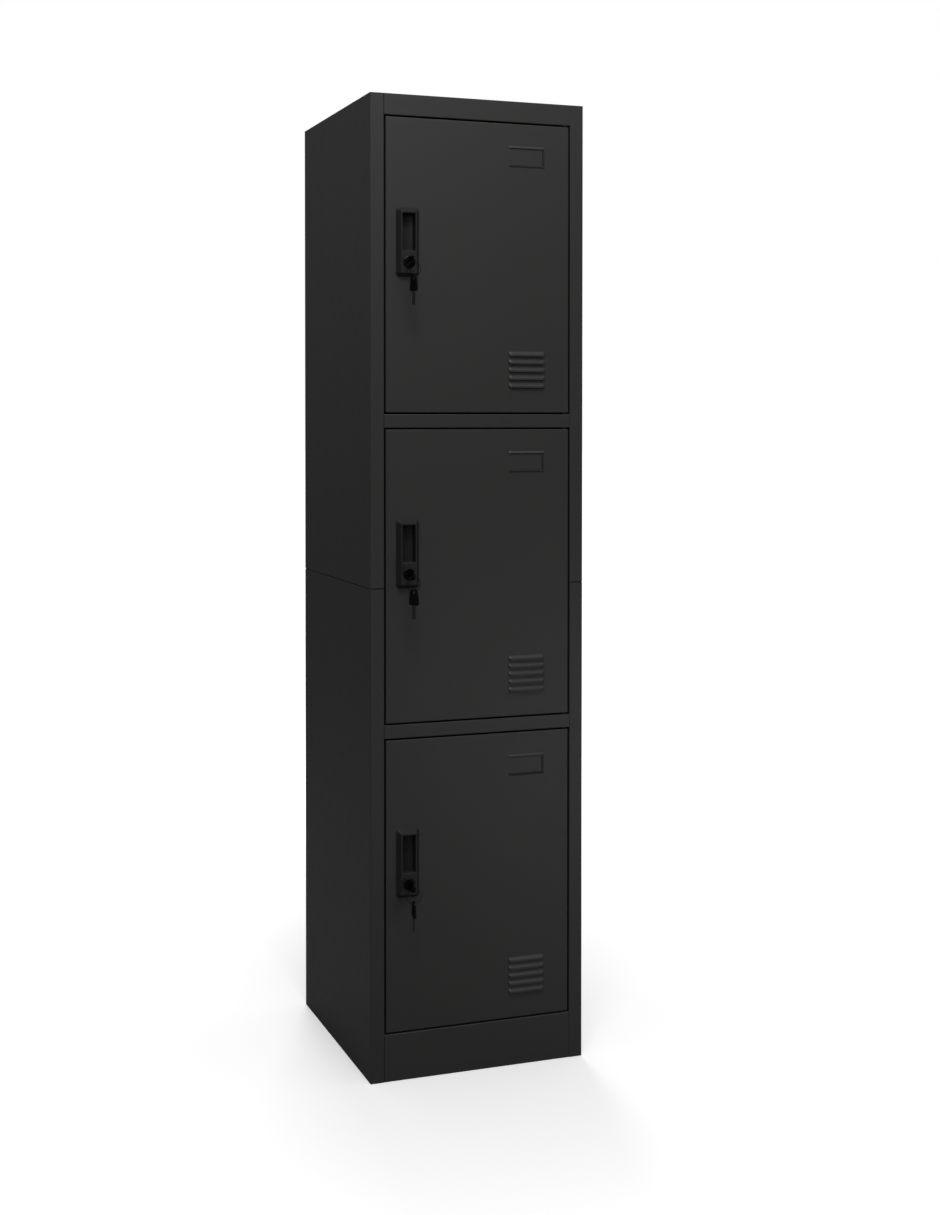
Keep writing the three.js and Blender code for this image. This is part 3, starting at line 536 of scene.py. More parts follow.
# ---- Carcass ----
def side_panel(base, top):
    """The right-hand side as one folded sheet, drawn back a little at the seam: rear flange, side, upright
    and its return, then the strike, whose reach is a function of height: full beside each opening and
    nothing at the rails."""
    half = WIDTH / 2
    spans = [(opening_base(k) + FIT, opening_base(k) + OPENING - RAIL_STRIKE - FIT) for k in range(3)]
    spans = [(max(base, a), min(top, b)) for a, b in spans if min(top, b) > max(base, a)]
    base, top = (base + SEAM_GAP, top) if base else (base, top - SEAM_GAP)
    steps = [base, top]
    for a, b in spans:
        steps += [a, a - 0.01, b, b + 0.01]
    steps += [top - 0.25, base + 0.25]
    stations = np.array(sorted({round(z, 4) for z in steps if base <= z <= top}))
    near, far = [], []
    inner = half - STILE
    path = [(half - REAR_FLANGE, DEPTH), (half, DEPTH), (half, 0), (inner, 0), (inner, STRIKE_DEPTH)]
    folds = bent(path)
    for z in stations:
        reach = STRIKE if any(a <= z <= b for a, b in spans) else 0.16
        end = bent([*path[3:], (inner - reach, STRIKE_DEPTH)], inside=0.15)
        a, b = (np.vstack([fold[:-1], tip[1:]]) for fold, tip in zip(folds, end))
        eased = 0.5 if z in (round(base, 4), round(top, 4)) else 0.0
        near.append(a + (b - a) * eased)
        far.append(b)
    along = np.repeat(stations[:, None], len(near[0]), 1)
    return folded(np.array(near), np.array(far), along, "xyz")


def rectangle(x0, x1, y0, y1, z0, z1):
    """A flat strip of sheet, carried along its longest side."""
    spans = {"x": (x0, x1), "y": (y0, y1), "z": (z0, z1)}
    axes = sorted(spans, key=lambda axis: spans[axis][1] - spans[axis][0])
    (a, b), (c, d), (e, f) = (spans[axis] for axis in axes)
    near, far = np.array([(a, c), (a, d)]), np.array([(b, c), (b, d)])
    return folded(near, far, [[e, e], [f, f]], axes)


def deck(front, top):
    """A deck from the folds at its front to its rear flange, wider behind the uprights, with a flange folded
    down at both sides."""
    back = BACK_FRONT - FIT
    path = [*front, (BEHIND_STILE - 0.01, top), (BEHIND_STILE, top), (back, top), (back, top - FLANGE)]
    skin = Skin(*carried(path, 0, 0, width=lambda p: BETWEEN if p[0] < BEHIND_STILE else INSIDE))
    for x in (INSIDE - SHEET, -INSIDE):
        skin.add(*rectangle(x, x + SHEET, BEHIND_STILE, back, top - FLANGE, top - SHEET))
    return skin


def rail_deck(base, top):
    """A deck whose front folds down into the rail between two doors, and on into the strip that the lower
    door meets."""
    return deck([(STRIKE_DEPTH, base - RAIL_STRIKE), (STRIKE_DEPTH, base), (0, base), (0, top)], top)


def top_panel():
    """The top deck with its rail, and the cap that covers the uprights and side sheets."""
    skin = rail_deck(HEIGHT - TOP_RAIL, HEIGHT - SHEET / 2)
    half, lift = WIDTH / 2, HEIGHT - SHEET
    ease, edge = 0.25, HEIGHT - 0.25
    cap = np.array([(0, lift), (0, edge), (ease, HEIGHT), (DEPTH - ease, HEIGHT), (DEPTH, edge)])
    foot = np.column_stack([cap[:, 0], np.full(len(cap), lift)])
    foot[0, 0], foot[1, 0] = 0.05, 0.1
    along = np.repeat([[-half], [ease - half], [half - ease], [half]], len(cap), axis=1)
    low = np.minimum(cap, (np.inf, edge))
    faces = np.array([low, cap, cap, low])
    return skin.add(*folded(faces, np.broadcast_to(foot - (0, 0.02), faces.shape), along))


def plinth():
    path = [(FOOT_FLANGE, 0), (0, 0), (0, PLINTH), (STRIKE_DEPTH, PLINTH)]
    skin = Skin(*carried(path, -BETWEEN, BETWEEN))
    for x in (BETWEEN - SHEET, -BETWEEN):
        skin.add(*rectangle(x, x + SHEET, SHEET, STRIKE_DEPTH, SHEET, PLINTH - SHEET))
    return skin


def back_panel(base, top, seam_at_base):
    """A flat back with the flange at the seam folded forwards."""
    seam, end = (base, top) if seam_at_base else (top, base)
    rear = BACK_FRONT + SHEET
    path = [(rear, end), (rear, seam), (BACK_FRONT - FLANGE, seam)]
    return Skin(*carried(path if seam_at_base else path[::-1], -INSIDE, INSIDE))


lower, upper = (0.0, SEAM - FIT / 2), (SEAM + FIT / 2, HEIGHT - SHEET - FIT)
for label, (base, top) in (("lower", lower), ("upper", upper)):
    panel = Skin(*side_panel(base, top))
    if label == "lower":
        side, inner = INSIDE - SPLICE_BACK, WIDTH / 2 - STILE + SHEET + FIT
        front = SHEET + FIT + SPLICE_BACK
        heights = (top - SPLICE, top + SPLICE)
        panel.add(*rectangle(side - SHEET, side, front + SHEET, BACK_FRONT - FLANGE, *heights))
        panel.add(*rectangle(inner, INSIDE, front, front + SHEET, *heights))
        panel.add(*rectangle(INSIDE - SHEET, INSIDE, SHEET + FIT, front, *heights))
        panel.add(*rectangle(WIDTH / 2 - FLANGE, WIDTH / 2 - SHEET, BEHIND_STILE, BACK_FRONT - FIT, 0, SHEET))
    panel.piece(f"side_right_{label}", "carcass", steel, [f"side_panel_right_{label}"])
    panel.moved(mirror=True).piece(f"side_left_{label}", "carcass", steel, [f"side_panel_left_{label}"])
    back_panel(base, top, label == "upper").piece(f"back_{label}", "carcass", steel, [f"back_panel_{label}"])
top_panel().piece("top_folded", "carcass", steel, ["top_panel"])
for locker, shelf in enumerate(("shelf_upper", "shelf_lower")):
    base = opening_base(locker)
    rail_deck(base - RAIL, base).piece(f"{shelf}_folded", "carcass", steel, [shelf])
front, top = SHEET + FIT, PLINTH - SHEET - FIT
deck([(front, top - FLANGE), (front, top)], top).piece("bottom_folded", "carcass", steel, ["bottom_panel"])
plinth().piece("plinth_folded", "carcass", steel, ["plinth"])


# ---- Doors ----
def swell(distance, reach):
    """A quarter circle: 0 at an edge, rising to 1 at a distance from it."""
    return np.sqrt(1 - (1 - np.clip(distance / reach, 0, 1)) ** 2)


def blend(t):
    """A smooth step from 0 to 1."""
    t = np.clip(t, 0, 1)
    return t * t * (3 - 2 * t)


def door_relief(x, z):
    """How far the door's skin stands out. Each louvre is a hood that swells down to a cut lower edge, and the
    card frame is three lanced lips that step up towards their cuts."""
    low, high = CARD_OPENING
    ends = np.minimum(x - VENT_FROM, VENT_END - x)
    rise = z - VENT_BASE
    t = rise % VENT_PITCH / VENT_HEIGHT
    within = (rise > 0) & (rise < (VENT_COUNT - 1) * VENT_PITCH + VENT_HEIGHT) & (t < 1)
    hoods = VENT_PROUD * swell(ends, 5.0) * (1 - blend((t - 0.28) / 0.6)) * within
    lower = blend((z - CARD_BASE) / CARD_STEP) * (z < low)
    upper = blend((CARD_TOP - z) / CARD_STEP) * (z > high)
    lips = (lower + upper) * swell(ends, 3.0)
    hinge_side = blend((VENT_END - x) / CARD_STEP) * (x > VENT_END - CARD_LIP)
    hinge_side = hinge_side * swell(np.minimum(z - low - 2, high - 2 - z), 2.0)
    return hoods + CARD_PROUD * (lips + hinge_side)


CUTOUT = (
    OPEN_EDGE - CUP_WIDTH / 2 - CUP_WALL - 0.5,
    OPEN_EDGE + CUP_WIDTH / 2 + CUP_WALL + 0.5,
    PULL_BASE + LOCK_HEIGHT - BARREL_RADIUS - LOCK_PLAY - CUP_WALL - 0.5,
    PULL_BASE + CUP_FROM + CUP_HEIGHT + CUP_WALL + 0.5,
)


def lines(low, high, spacing, *marks):
    """Grid lines between two values: even ones, and the marked ones, which push even ones away."""
    marks = sorted({round(m, 5) for m in marks if low < m < high} | {low, high})
    counts = [max(1, round((b - a) / spacing)) for a, b in zip(marks, marks[1:])]
    parts = [np.linspace(a, b, n, endpoint=False) for a, b, n in zip(marks, marks[1:], counts)]
    return np.concatenate([*parts, [high]])


def door_panel():
    """A door as one pan of folded sheet: the pierced and pressed skin, the fold round its edges, the walls
    and the flange folded in behind."""
    outer = FOLD + SHEET
    x0, x1, low, high = VENT_FROM, VENT_END, *CARD_OPENING
    eases = (0, 0.4, 0.9, 1.6, 2.6, 3.8, 5.0)
    xs = [CUTOUT[0], CUTOUT[1], x1 - CARD_LIP]
    xs += [x0 + e for e in eases] + [x1 - e for e in (*eases, 0.7, 1.3, 3.2)]
    xs = lines(outer, DOOR_WIDTH - outer, 40.0, 13.0, DOOR_WIDTH - 13.0, *xs)
    zs = [CUTOUT[2], CUTOUT[3]]
    hood = (0, 0.28, 0.36, 0.44, 0.52, 0.6, 0.68, 0.78, 0.88, 1)
    zs += [VENT_BASE + k * VENT_PITCH + VENT_HEIGHT * t for k in range(VENT_COUNT) for t in hood]
    steps = (0, 0.5, 1.0, 1.6, 2.2, 2.8, 3.3, CARD_STEP)
    zs += [low, high, *(CARD_BASE + e for e in steps), *(CARD_TOP - e for e in steps)]
    zs += [low + 2 + e for e in (0, 0.4, 1, 2)] + [high - 2 - e for e in (0, 0.4, 1, 2)]
    zs = lines(outer, DOOR_HEIGHT - outer, 40.0, 13.0, DOOR_HEIGHT - 13.0, *zs)
    slits = [("z", VENT_BASE + k * VENT_PITCH, x0, x1) for k in range(VENT_COUNT)]
    slits += [("z", low, x0, x1), ("z", high, x0, x1), ("x", x1 - CARD_LIP, low + 2, high - 2)]

    def keep(x, z):
        return ~((CUTOUT[0] < x) & (x < CUTOUT[1]) & (CUTOUT[2] < z) & (z < CUTOUT[3]))

    def front(x, z):
        return -door_relief(x, z)

    plate = pierced(xs, zs, front, lambda x, z: SHEET + front(x, z), keep, slits)
    arc = np.linspace(0, math.pi / 2, 6)
    profile = [(outer * math.sin(a), outer * (1 - math.cos(a))) for a in arc[1:]]
    profile += [(outer * math.cos(a), DOOR_DEPTH - outer + outer * math.sin(a)) for a in arc[:-1]]
    inset = outer - DOOR_RETURN
    profile += [(0, DOOR_DEPTH), (inset, DOOR_DEPTH), (inset, DOOR_DEPTH - SHEET), (0, DOOR_DEPTH - SHEET)]
    profile += [(FOLD * math.sin(a), DOOR_DEPTH - SHEET - FOLD * (1 - math.cos(a))) for a in arc[1:]]
    profile += [(FOLD * math.cos(a), outer - FOLD * math.sin(a)) for a in arc[:-1]]
    return Skin(*rimmed(plate, profile))


def stiffener():
    """A hat section down the inside of a door."""
    left, right, rim = 118.0, 168.0, 12.0
    foot, crown = 2 * SHEET + FIT, DOOR_DEPTH - SHEET - 2.4
    half = [(left, foot), (left + rim * 0.7, foot), (left + rim, crown)]
    path = half + [(left + right - x, y) for x, y in reversed(half)]
    return Skin(*carried(path, SHEET + FIT, DOOR_HEIGHT - SHEET - FIT, axes="xyz"))


def hinge_pin(face, way):
    """A shouldered pin in a door's flange. face is the flange's outer face, and way points out of it."""
    inside = -SHEET - FIT
    corners = [(0, inside - 2), (4.9, inside - 2), (4.9, inside), (3, inside), (3, FIT), (4.9, FIT)]
    corners += [(4.9, GAP - 1.8), (3, GAP - 1.8), (3, GAP + SHEET + 5), (0, GAP + SHEET + 5)]
    profile = softened(corners, 0.35) * (1, way)
    return Skin(*turned(profile, (DOOR_WIDTH - PIVOT_IN, PIVOT_BACK, face), "z", 32))


def hinge_bush(face, way):
    """A flanged nylon bush in a rail. face is the sheet's face, and way points at the door."""
    bore, wall, flange = 3.3, 4.5, 5.6
    corners = [(bore, -5), (wall, -5), (wall, FIT), (flange, FIT)]
    corners += [(flange, FIT + 1.4), (bore, FIT + 1.4), (bore, -5)]
    profile = softened(corners, 0.25)[:-1] * (1, way)
    centre = (DOOR_LEFT + DOOR_WIDTH - PIVOT_IN, PIVOT_BACK, face)
    return Skin(*turned(profile, centre, "z", 32, wrap=True))


def pull_handle():
    """The recessed pull about its own centre line: a bevelled face plate, a finger cup whose floor slopes up
    away from the opening edge, a round opening for the lock, and the body behind. The crest is one grid,
    where the cup's depth is a function of the distance inside its rounded outline, and the bevel is a profile
    round it."""
    margin = PULL_BEVEL + 0.8
    box = (-PULL_WIDTH / 2 + margin, PULL_WIDTH / 2 - margin, margin, PULL_HEIGHT - margin)
    half, low, high, corner = CUP_WIDTH / 2, CUP_FROM, CUP_FROM + CUP_HEIGHT, 1.6
    body = half + CUP_WALL
    body_low, body_high = LOCK_HEIGHT - BARREL_RADIUS - LOCK_PLAY - CUP_WALL, high + CUP_WALL
    hole, square = BARREL_RADIUS + LOCK_PLAY, 12.2
    floor = PULL_BODY - CUP_WALL

    def front(x, z):
        across, along = half - abs(x), np.minimum(z - low, high - z)
        rounded = corner - np.hypot(corner - across, corner - along)
        depth = np.where((across < corner) & (along < corner), rounded, np.minimum(across, along))
        slope = floor - CUP_SLOPE * blend((x + half) / (2 * half))
        lip = 0.5 * (np.clip(depth + 0.8, 0, None) / 1.1) ** 2.5
        wall = blend((depth - 0.3) / 1.3) ** 0.8
        return -PULL_PROUD + np.where(depth < 0.3, lip, 0.5 + (slope + PULL_PROUD - 0.5) * wall)

    def back(x, z):
        return np.where((abs(x) < body) & (body_low < z) & (z < body_high), PULL_BODY, -FIT)

    def keep(x, z):
        return ~((abs(x) < hole) & (abs(z - LOCK_HEIGHT) < hole))

    def round_lock(x, z):
        """Squares about the lock's axis become circles near it, and stay square further out."""
        z = z - LOCK_HEIGHT
        size, length = np.maximum(abs(x), abs(z)), np.maximum(np.hypot(x, z), 1e-9)
        scale = 1 + (size / length - 1) * (1 - blend((size - hole) / (square - hole)))
        return x * scale, LOCK_HEIGHT + z * scale

    cuts = (-0.8, -0.6, -0.35, -0.1, 0.15, 0.3, 0.45, 0.65, 0.9, 1.2, 1.6, 2.4)
    reaches = (hole * 0.25, hole * 0.5, hole * 0.75, hole, 9.6, 10.4, 11.3, square)
    xs = [side * v for v in (*(half - c for c in cuts), *reaches, body, body + 0.02) for side in (-1, 1)]
    zs = [low + c for c in cuts] + [high - c for c in cuts]
    zs += [LOCK_HEIGHT + side * v for v in reaches for side in (-1, 1)]
    zs += [body_low, body_low - 0.02, body_high, body_high + 0.02, LOCK_HEIGHT]
    xs, zs = lines(*box[:2], 2.5, 0, *xs), lines(*box[2:], 5.0, *zs)
    plate = pierced(xs, zs, front, back, keep, warp=round_lock)
    crest, rim = margin - PULL_BEVEL, margin
    edge = [(0.35, -0.01), (0.6, 0.06), (crest, 0.22), (crest + 0.2, 0.5), (rim - 0.7, 8.7)]
    edge += [(rim - 0.35, 9.15), (rim - 0.08, 9.4), (rim, 9.6), (rim, 9.75), (rim - 0.1, 9.8)]
    profile = [(out, -PULL_PROUD + drop) for out, drop in edge] + [(3.0, -FIT)]
    return Skin(*rimmed(plate, profile, steps=7))


# ---- Lock and keys, about the lock's axis ----
def lock_barrel():
    """A threaded barrel with a rolled face ring. The thread is a ripple along its length."""
    face = -PULL_PROUD - LOCK_PLAY
    bore = PLUG_RADIUS + 0.12
    corners = [(bore, BARREL_END), (bore, -LOCK_FACE + 0.3), (bore + 0.5, -LOCK_FACE), (9.6, -LOCK_FACE)]
    corners += [(BARREL_HEAD_RADIUS, -LOCK_FACE + 0.8), (BARREL_HEAD_RADIUS, face), (BARREL_RADIUS, face)]
    head = softened(corners, 0.3)
    start, end = 1.0, BARREL_END - 0.8
    turns = np.linspace(start, end, 72)
    thread = [(BARREL_RADIUS - 0.22 + 0.2 * math.cos(2 * math.pi * (t - start) / 1.5), t) for t in turns]
    tail = [(BARREL_RADIUS - 0.6, BARREL_END - 0.2), (BARREL_RADIUS - 1.0, BARREL_END)]
    return Skin(*turned([*head, *thread, *tail], wrap=True))


def lock_nut():
    """A hexagon nut: its radius is a hexagon's as a function of the angle, and a circle's at its faces."""
    start, bore, corner, thick = PULL_BODY + LOCK_PLAY, BARREL_RADIUS + 0.1, 12.4, 4.0
    away = (even_angles(48) + math.pi / 6) % (math.pi / 3) - math.pi / 6
    side = corner * math.cos(math.pi / 6) / np.cos(away)
    profile = [(bore, start), (bore, start + thick), (10.6, start + thick), (side, start + thick - 0.7)]
    return Skin(*turned([*profile, (side, start + 0.7), (10.6, start)], wrap=True))


def slot_radius(count, wide, tall):
    """Distance from the middle of an upright slot to its edge, at even angles from level."""
    angle = even_angles(count)
    wide, tall = wide / np.maximum(abs(np.cos(angle)), 1e-9), tall / np.maximum(abs(np.sin(angle)), 1e-9)
    return np.minimum(wide, tall)


def lock_plug():
    """The turning core: a keyway in a round face, a collar, and the square tail. Loops about the axis from
    the end of the keyway out to the face and back along the outside."""
    slot, tail = slot_radius(64, 1.3, 4.3), slot_radius(64, 3.5, 3.5)
    face, collar = -LOCK_FACE, BARREL_END + LOCK_PLAY
    profile = [(slot, 13.0), (slot, face + 0.25), (slot + 0.3, face + 0.03), (slot * 0.5 + 2.4, face)]
    profile += [(5.5, face), (5.85, face + 0.12), (5.96, face + 0.45), (5.96, collar)]
    front, back = CAM_FRONT - LOCK_PLAY, CAM_BACK - LOCK_PLAY
    profile += [(COLLAR_RADIUS, collar), (COLLAR_RADIUS, front), (tail, front), (tail, back)]
    return Skin(*turned(profile, sides=64))


def edge_distance(corners, count):
    """Distance from the origin to a convex outline at even angles: the nearest of its sides' lines."""
    p = np.array(corners, float)
    q = np.roll(p, -1, axis=0)
    normal = np.column_stack([q[:, 1] - p[:, 1], p[:, 0] - q[:, 0]])
    angle = even_angles(count)
    facing = normal @ np.array([np.cos(angle), np.sin(angle)])
    reach = (normal * p).sum(1)[:, None] / np.where(facing > 1e-9, facing, 1e-9)
    return np.where(facing > 1e-9, reach, np.inf).min(0)


def lock_cam():
    """The flat arm that locks the door: a round end about the axis, and a straight arm down to its tip."""
    half, tip = CAM_WIDTH / 2, -CAM_REACH
    arc = np.linspace(0, math.pi, 17)
    corners = [*zip(half * np.cos(arc), half * np.sin(arc)), (-half, tip + 3.5), (-half + 3.5, tip)]
    outline = edge_distance([*corners, (half - 3.5, tip), (half, tip + 3.5)], 180)
    hole, ease = slot_radius(180, 3.62, 3.62), 0.35
    profile = [(outline - ease, CAM_FRONT), (outline - 0.1, CAM_FRONT + 0.1), (outline, CAM_FRONT + ease)]
    profile += [(outline, CAM_BACK - ease), (outline - 0.1, CAM_BACK - 0.1), (outline - ease, CAM_BACK)]
    profile += [(hole + 0.2, CAM_BACK), (hole, CAM_BACK - 0.2)]
    profile += [(hole, CAM_FRONT + 0.2), (hole + 0.2, CAM_FRONT)]
    return Skin(*turned(profile, sides=180, wrap=True))


def crossed(count, radius):
    """The outline of a cross recess: a radius as a function of the angle."""
    angle = even_angles(count)
    return radius * np.where(np.minimum(abs(np.cos(angle)), abs(np.sin(angle))) < 0.3, 1.0, 0.35)


def cam_screw():
    """A pan-head screw with a cross recess."""
    head = CAM_BACK + LOCK_PLAY
    profile = [(2.0, BARREL_END + 1), (2.0, head), (5.1, head), (5.2, head + 0.3), (5.0, head + 1.1)]
    profile += [(4.2, head + 1.8), (3.0, head + 2.25)]
    profile += [(crossed(48, 2.6), head + 2.3), (crossed(48, 2.3), head + 1)]
    return Skin(*turned(profile))


def key_head():
    """A key's head in the plane of y and z, about the hole for its ring: a ring of loops, whose outer radius
    is a function of the angle about the hole, with a shallow panel in each face."""
    base, end = KEY_HEAD_LENGTH - KEY_HOLE_IN, -KEY_HOLE_IN
    wide, narrow, half = KEY_HEAD_WIDTH / 2, KEY_END_WIDTH / 2, KEY_THICKNESS / 2

    shoulder = curve((base, 7), (base, wide), (base - 4, wide), 6)
    upper = np.vstack([shoulder, curve((end + 8, narrow + 1.5), (end, narrow), (end, 0), 6)])
    outline = edge_distance(np.vstack([upper, upper[-2::-1] * (1, -1)]), 96)
    hole, panel = KEY_HOLE_RADIUS, outline * 0.8
    side = [(hole, half - 0.3), (hole + 0.3, half), (hole + 1.0, half), (hole + 1.25, half - 0.3)]
    side += [(panel, half - 0.3), (panel + 0.3, half), (outline - 0.6, half), (outline - 0.15, half - 0.2)]
    side += [(outline, half - 0.65)]
    profile = side + [(r, -x) for r, x in reversed(side)]
    return Skin(*turned(profile, axis="x", sides=96, wrap=True))


def key_blade():
    """A key's blade, about the hole for its ring: a grooved section whose edges step in at each cut."""
    base = KEY_HEAD_LENGTH - KEY_HOLE_IN
    tip, edge = base + BLADE_LENGTH, BLADE_WIDTH / 2
    cuts = [(base - 1.5, 0), (base + 3, 0)]
    for k, depth in enumerate((0.9, 1.7, 0.6, 1.4, 1.1, 0.4)):
        at = base + 6 + k * 2.7
        cuts += [(at - 0.9, 0), (at - 0.3, depth), (at + 0.3, depth), (at + 0.9, 0)]
    y, depth = np.array([*cuts, (tip - 1.4, 0), (tip - 0.7, 1.2), (tip, 2.4)]).T
    top, low = edge - depth, np.where(y > tip - 1, depth, 0) - edge
    groove = (-0.9, -0.6, 0.6, 0.9)
    across = [-1, -0.8, 0.8, 1, 1, 0.45, 0.45, 1, 1, 0.8, -0.8, -1, -1, -0.45, -0.45, -1]
    up = [low + 0.25, low, low, low + 0.25, *(0 * y + g for g in groove)]
    up += [top - 0.25, top, top, top - 0.25, *(0 * y - g for g in groove)]
    loops = np.stack([np.stack([0 * y + x, y, z], -1) for x, z in zip(across, up)], 1)
    return Skin(*stacked(loops))


def split_ring():
    """Two turns of round wire side by side. The middle of the wire runs round a circle and moves across by
    the wire's width in a short part of each turn, and its section is a circle."""
    wire, sides = WIRE_RADIUS / 2 - 0.02, 10
    part = np.linspace(0.0, 2.0, 121)
    angle = (part * 2 + 0.62) * math.pi
    out = np.column_stack([np.cos(angle), 0 * angle, np.sin(angle)])
    middle = out * RING_RADIUS
    middle[:, 1] = (2 * blend((part - 0.9) / 0.2) - 1) * (wire + 0.01)
    turn = even_angles(sides)
    loops = middle[:, None] + np.cos(turn)[:, None] * out[:, None] * wire
    loops[..., 1] += np.sin(turn) * wire
    return Skin(*stacked(loops))


def about_z(degrees):
    a = math.radians(degrees)
    return np.array([[math.cos(a), -math.sin(a), 0], [math.sin(a), math.cos(a), 0], [0, 0, 1]])


DOWN = np.array([[1, 0, 0], [0, 0, 1], [0, -1, 0]])  # turns a key so that its blade points down

door_skin, stiffener_skin = door_panel(), stiffener()
pins = hinge_pin(DOOR_HEIGHT, 1), hinge_pin(0, -1)
pull_skin = pull_handle()
barrel_skin, nut_skin = lock_barrel(), lock_nut()
plug_skin, cam_skin, screw_skin = lock_plug(), lock_cam(), cam_screw()
head_skin, blade_skin, ring_skin = key_head(), key_blade(), split_ring()

for locker, name in enumerate(LOCKERS):
    sill = opening_base(locker)
    corner = np.array([DOOR_LEFT, 0, sill + GAP])
    lock = corner + (OPEN_EDGE, 0, PULL_BASE + LOCK_HEIGHT)
    hole = lock + (0, -HOLE_FRONT, 0)
    ring_drop = np.array([0, 0, RING_DROP + RING_RADIUS])
    turn, spare_hole = about_z(SPARE_YAW[locker]) @ DOWN, hole - 2 * ring_drop
    spare_skin = head_skin.moved(turn)
    finished = (
        ("door", "door_panel", steel, corner, door_skin),
        ("door", "door_stiffener", steel, corner, stiffener_skin),
        ("door", "hinge_pin_upper", black_metal, corner, pins[0]),
        ("door", "hinge_pin_lower", black_metal, corner, pins[1]),
        ("door", "pull_handle", pull_plastic, corner + (OPEN_EDGE, 0, PULL_BASE), pull_skin),
        ("door", "lock_barrel", black_metal, lock, barrel_skin),
        ("door", "lock_nut", zinc, lock, nut_skin),
        ("lock", "lock_plug", black_metal, lock, plug_skin),
        ("lock", "lock_cam", zinc, lock, cam_skin),
        ("lock", "cam_screw", zinc, lock, screw_skin),
        ("key", "key", black_plastic, hole, head_skin),
        ("spare", "spare_key", black_plastic, spare_hole, spare_skin),
    )
    for body, part, finish, place, skin in finished:
        skin.moved(shift=place).piece(f"{part}_{name}_finished", f"{body}_{name}", finish, [f"{part}_{name}"])
    ring = ring_skin.moved(about_z(RING_YAW[locker]), hole - ring_drop)
    ring.piece(f"split_ring_{name}", f"ring_{name}", black_metal, [f"key_ring_{name}"], sharp=60)
    blade_skin.moved(shift=hole).piece(f"key_blade_{name}", f"key_{name}", key_steel)
    blade_skin.moved(turn, spare_hole).piece(f"spare_blade_{name}", f"spare_{name}", key_steel)
    for label, face, way in (("upper", sill + OPENING, -1), ("lower", sill, 1)):
        hinge_bush(face, way).piece(f"bush_{label}_{name}", "carcass", nylon, [f"hinge_bush_{label}_{name}"])
    place = (-WIDTH / 2 + STILE + STRIKE / 2, STRIKE_DEPTH - FIT, sill + OPENING / 2)
    bump = turned(softened([(0, 0), (4, 0), (4, -2.6), (2.6, -3.6), (0, -3.6)], 0.5), place)
    Skin(*bump).piece(f"bumper_{name}", "carcass", rubber, [f"door_bumper_{name}"])


# ---- Screws that hold the panels together ----
def carcass_screw():
    """A pan head with a cross recess, standing up along x from the origin."""
    profile = [(3.6, 0), (3.7, 0.4), (3.4, 1.1), (2.6, 1.7)]
    profile += [(crossed(32, 1.9), 1.85), (crossed(32, 1.6), 0.8)]
    return Skin(*turned(profile, axis="x", sides=32))


decks = (opening_base(2) - SHEET - FIT, opening_base(1), opening_base(0), HEIGHT)
places = [(INSIDE - SHEET, y, top - 8) for top in decks for y in (70.0, 225.0, 380.0)]
seam_sides = [(y, SEAM + side * SPLICE / 2) for y in (90.0, 225.0, 360.0) for side in (-1, 1)]
places += [(INSIDE - SHEET - SPLICE_BACK, y, z) for y, z in seam_sides]
screws, screw = Skin(), carcass_screw()
for x, y, z in places:
    screws.joined(screw.moved(shift=(-x, y, z))).joined(screw.moved(mirror=True, shift=(x, y, z)))
screws.piece("panel_screws", "carcass", zinc)

# ---- Floor, light and camera ----
def camera_ray(tree):
    """1 where the camera meets the surface directly, and 0 for the light that the surface gives off."""
    return node(tree, "ShaderNodeLightPath").outputs["Is Camera Ray"]


def ramp(tree, value, places, levels):
    """A smooth rise from one level to another, between two places on a value."""
    made = node(tree, "ShaderNodeMapRange", interpolation_type="SMOOTHSTEP")
    set_inputs(made, dict(zip(("From Min", "From Max", "To Min", "To Max"), (*places, *levels))))
    tree.links.new(value, made.inputs["Value"])
    return made.outputs["Result"]


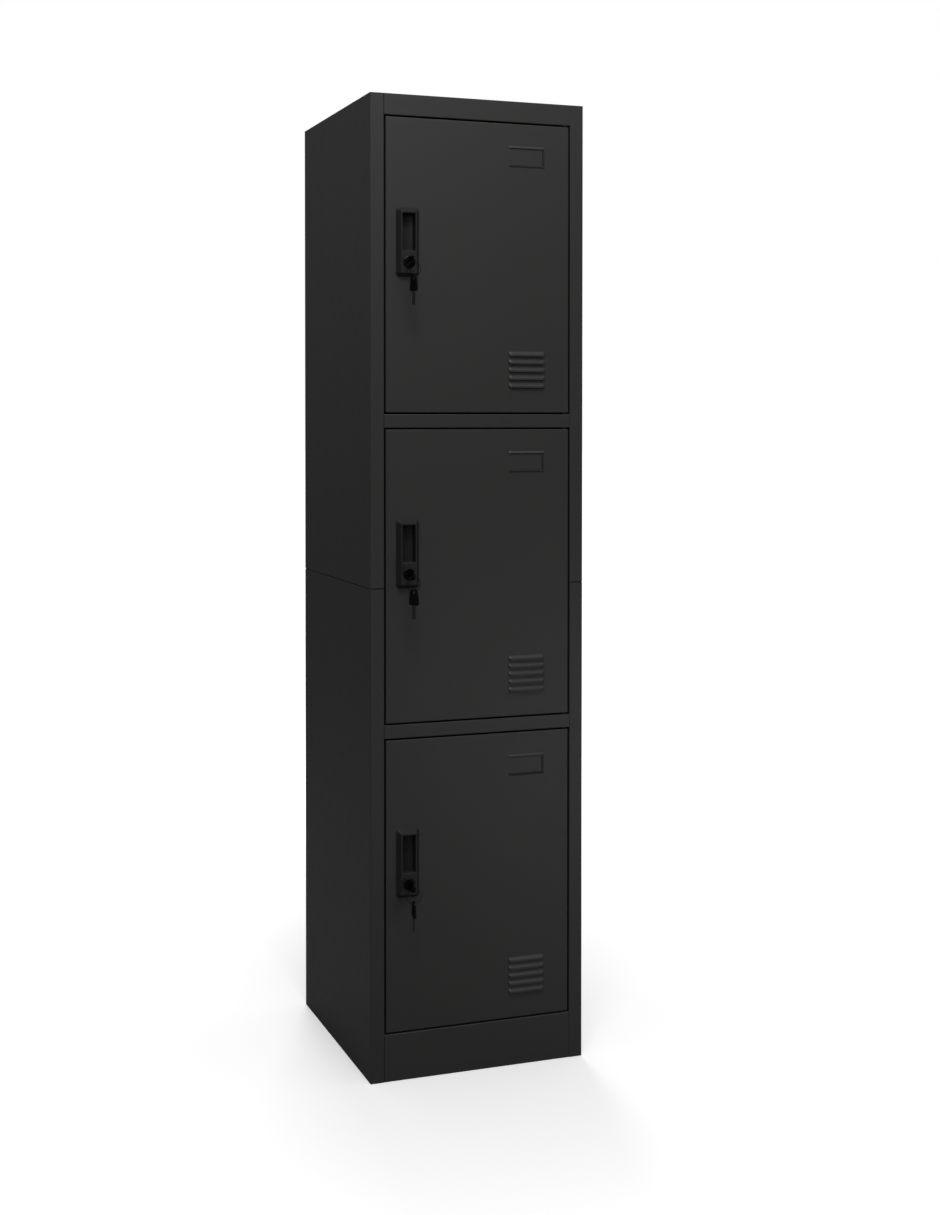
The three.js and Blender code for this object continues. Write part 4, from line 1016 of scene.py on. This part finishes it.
def floor_paper():
    """White paper whose own light, for the camera alone, rises with the distance from the cabinet."""
    paper = bpy.data.materials.new("studio_paper")
    paper.use_nodes = True
    tree = paper.node_tree
    link, surface = tree.links.new, tree.nodes["Principled BSDF"]
    set_inputs(surface, {"Roughness": 0.9, "Specular IOR Level": 0.2, "Emission Color": (1, 1, 1, 1)})
    seen = camera_ray(tree)
    tone = arithmetic(tree, link, "MULTIPLY_ADD", seen, PAPER_TONE - PAPER_GLOW, PAPER_GLOW)
    link(tone, surface.inputs["Base Color"])
    away = node(tree, "ShaderNodeVectorMath", operation="LENGTH")
    link(node(tree, "ShaderNodeTexCoord").outputs["Object"], away.inputs[0])
    light = ramp(tree, away.outputs["Value"], PAPER_REACH, PAPER_LIGHT)
    link(arithmetic(tree, link, "MULTIPLY", light, seen), surface.inputs["Emission Strength"])
    return paper


def softbox(name, place, aim, size, watts):
    light = bpy.data.lights.new(name, "AREA")
    light.shape, light.size, light.size_y, light.energy = "RECTANGLE", *size, watts
    made = placed(name, light)
    made.location = place
    made.rotation_euler = (Vector(aim) - Vector(place)).to_track_quat("-Z", "Y").to_euler()


def studio_room():
    """A room that is white to the eye, and whose light rises with the height of its direction."""
    room = bpy.data.worlds.new("studio_room")
    room.use_nodes = True
    tree = room.node_tree
    link, background = tree.links.new, tree.nodes["Background"]
    background.inputs["Color"].default_value = (1, 1, 1, 1)
    up = node(tree, "ShaderNodeSeparateXYZ")
    link(node(tree, "ShaderNodeTexCoord").outputs["Generated"], up.inputs[0])
    sky = ramp(tree, up.outputs["Z"], SKY_HEIGHTS, SKY_LIGHT)
    link(arithmetic(tree, link, "MAXIMUM", sky, camera_ray(tree)), background.inputs["Strength"])
    return room


sheet = bpy.data.meshes.new("studio_floor")
corners = ((-1, -1), (1, -1), (1, 1), (-1, 1))
sheet.from_pydata([(x * FLOOR_REACH, y * FLOOR_REACH, 0) for x, y in corners], [], [(0, 1, 2, 3)])
sheet.materials.append(floor_paper())
floor = placed("studio_floor", sheet)
for row in SOFTBOXES:
    softbox(*row)
bpy.context.scene.world = studio_room()
bpy.context.scene.view_settings.view_transform = "Standard"

camera = bpy.data.cameras.new("camera")
camera.sensor_width, camera.lens = 36, LENS
camera.shift_x, camera.shift_y = SHIFT
camera.clip_end = 60
holder = placed("camera", camera)
holder.location = (EYE[0], FRONT / 1000 + EYE[1], EYE[2])
holder.rotation_euler = (math.radians(90 - PITCH), 0, math.radians(-YAW))
bpy.context.scene.camera = holder
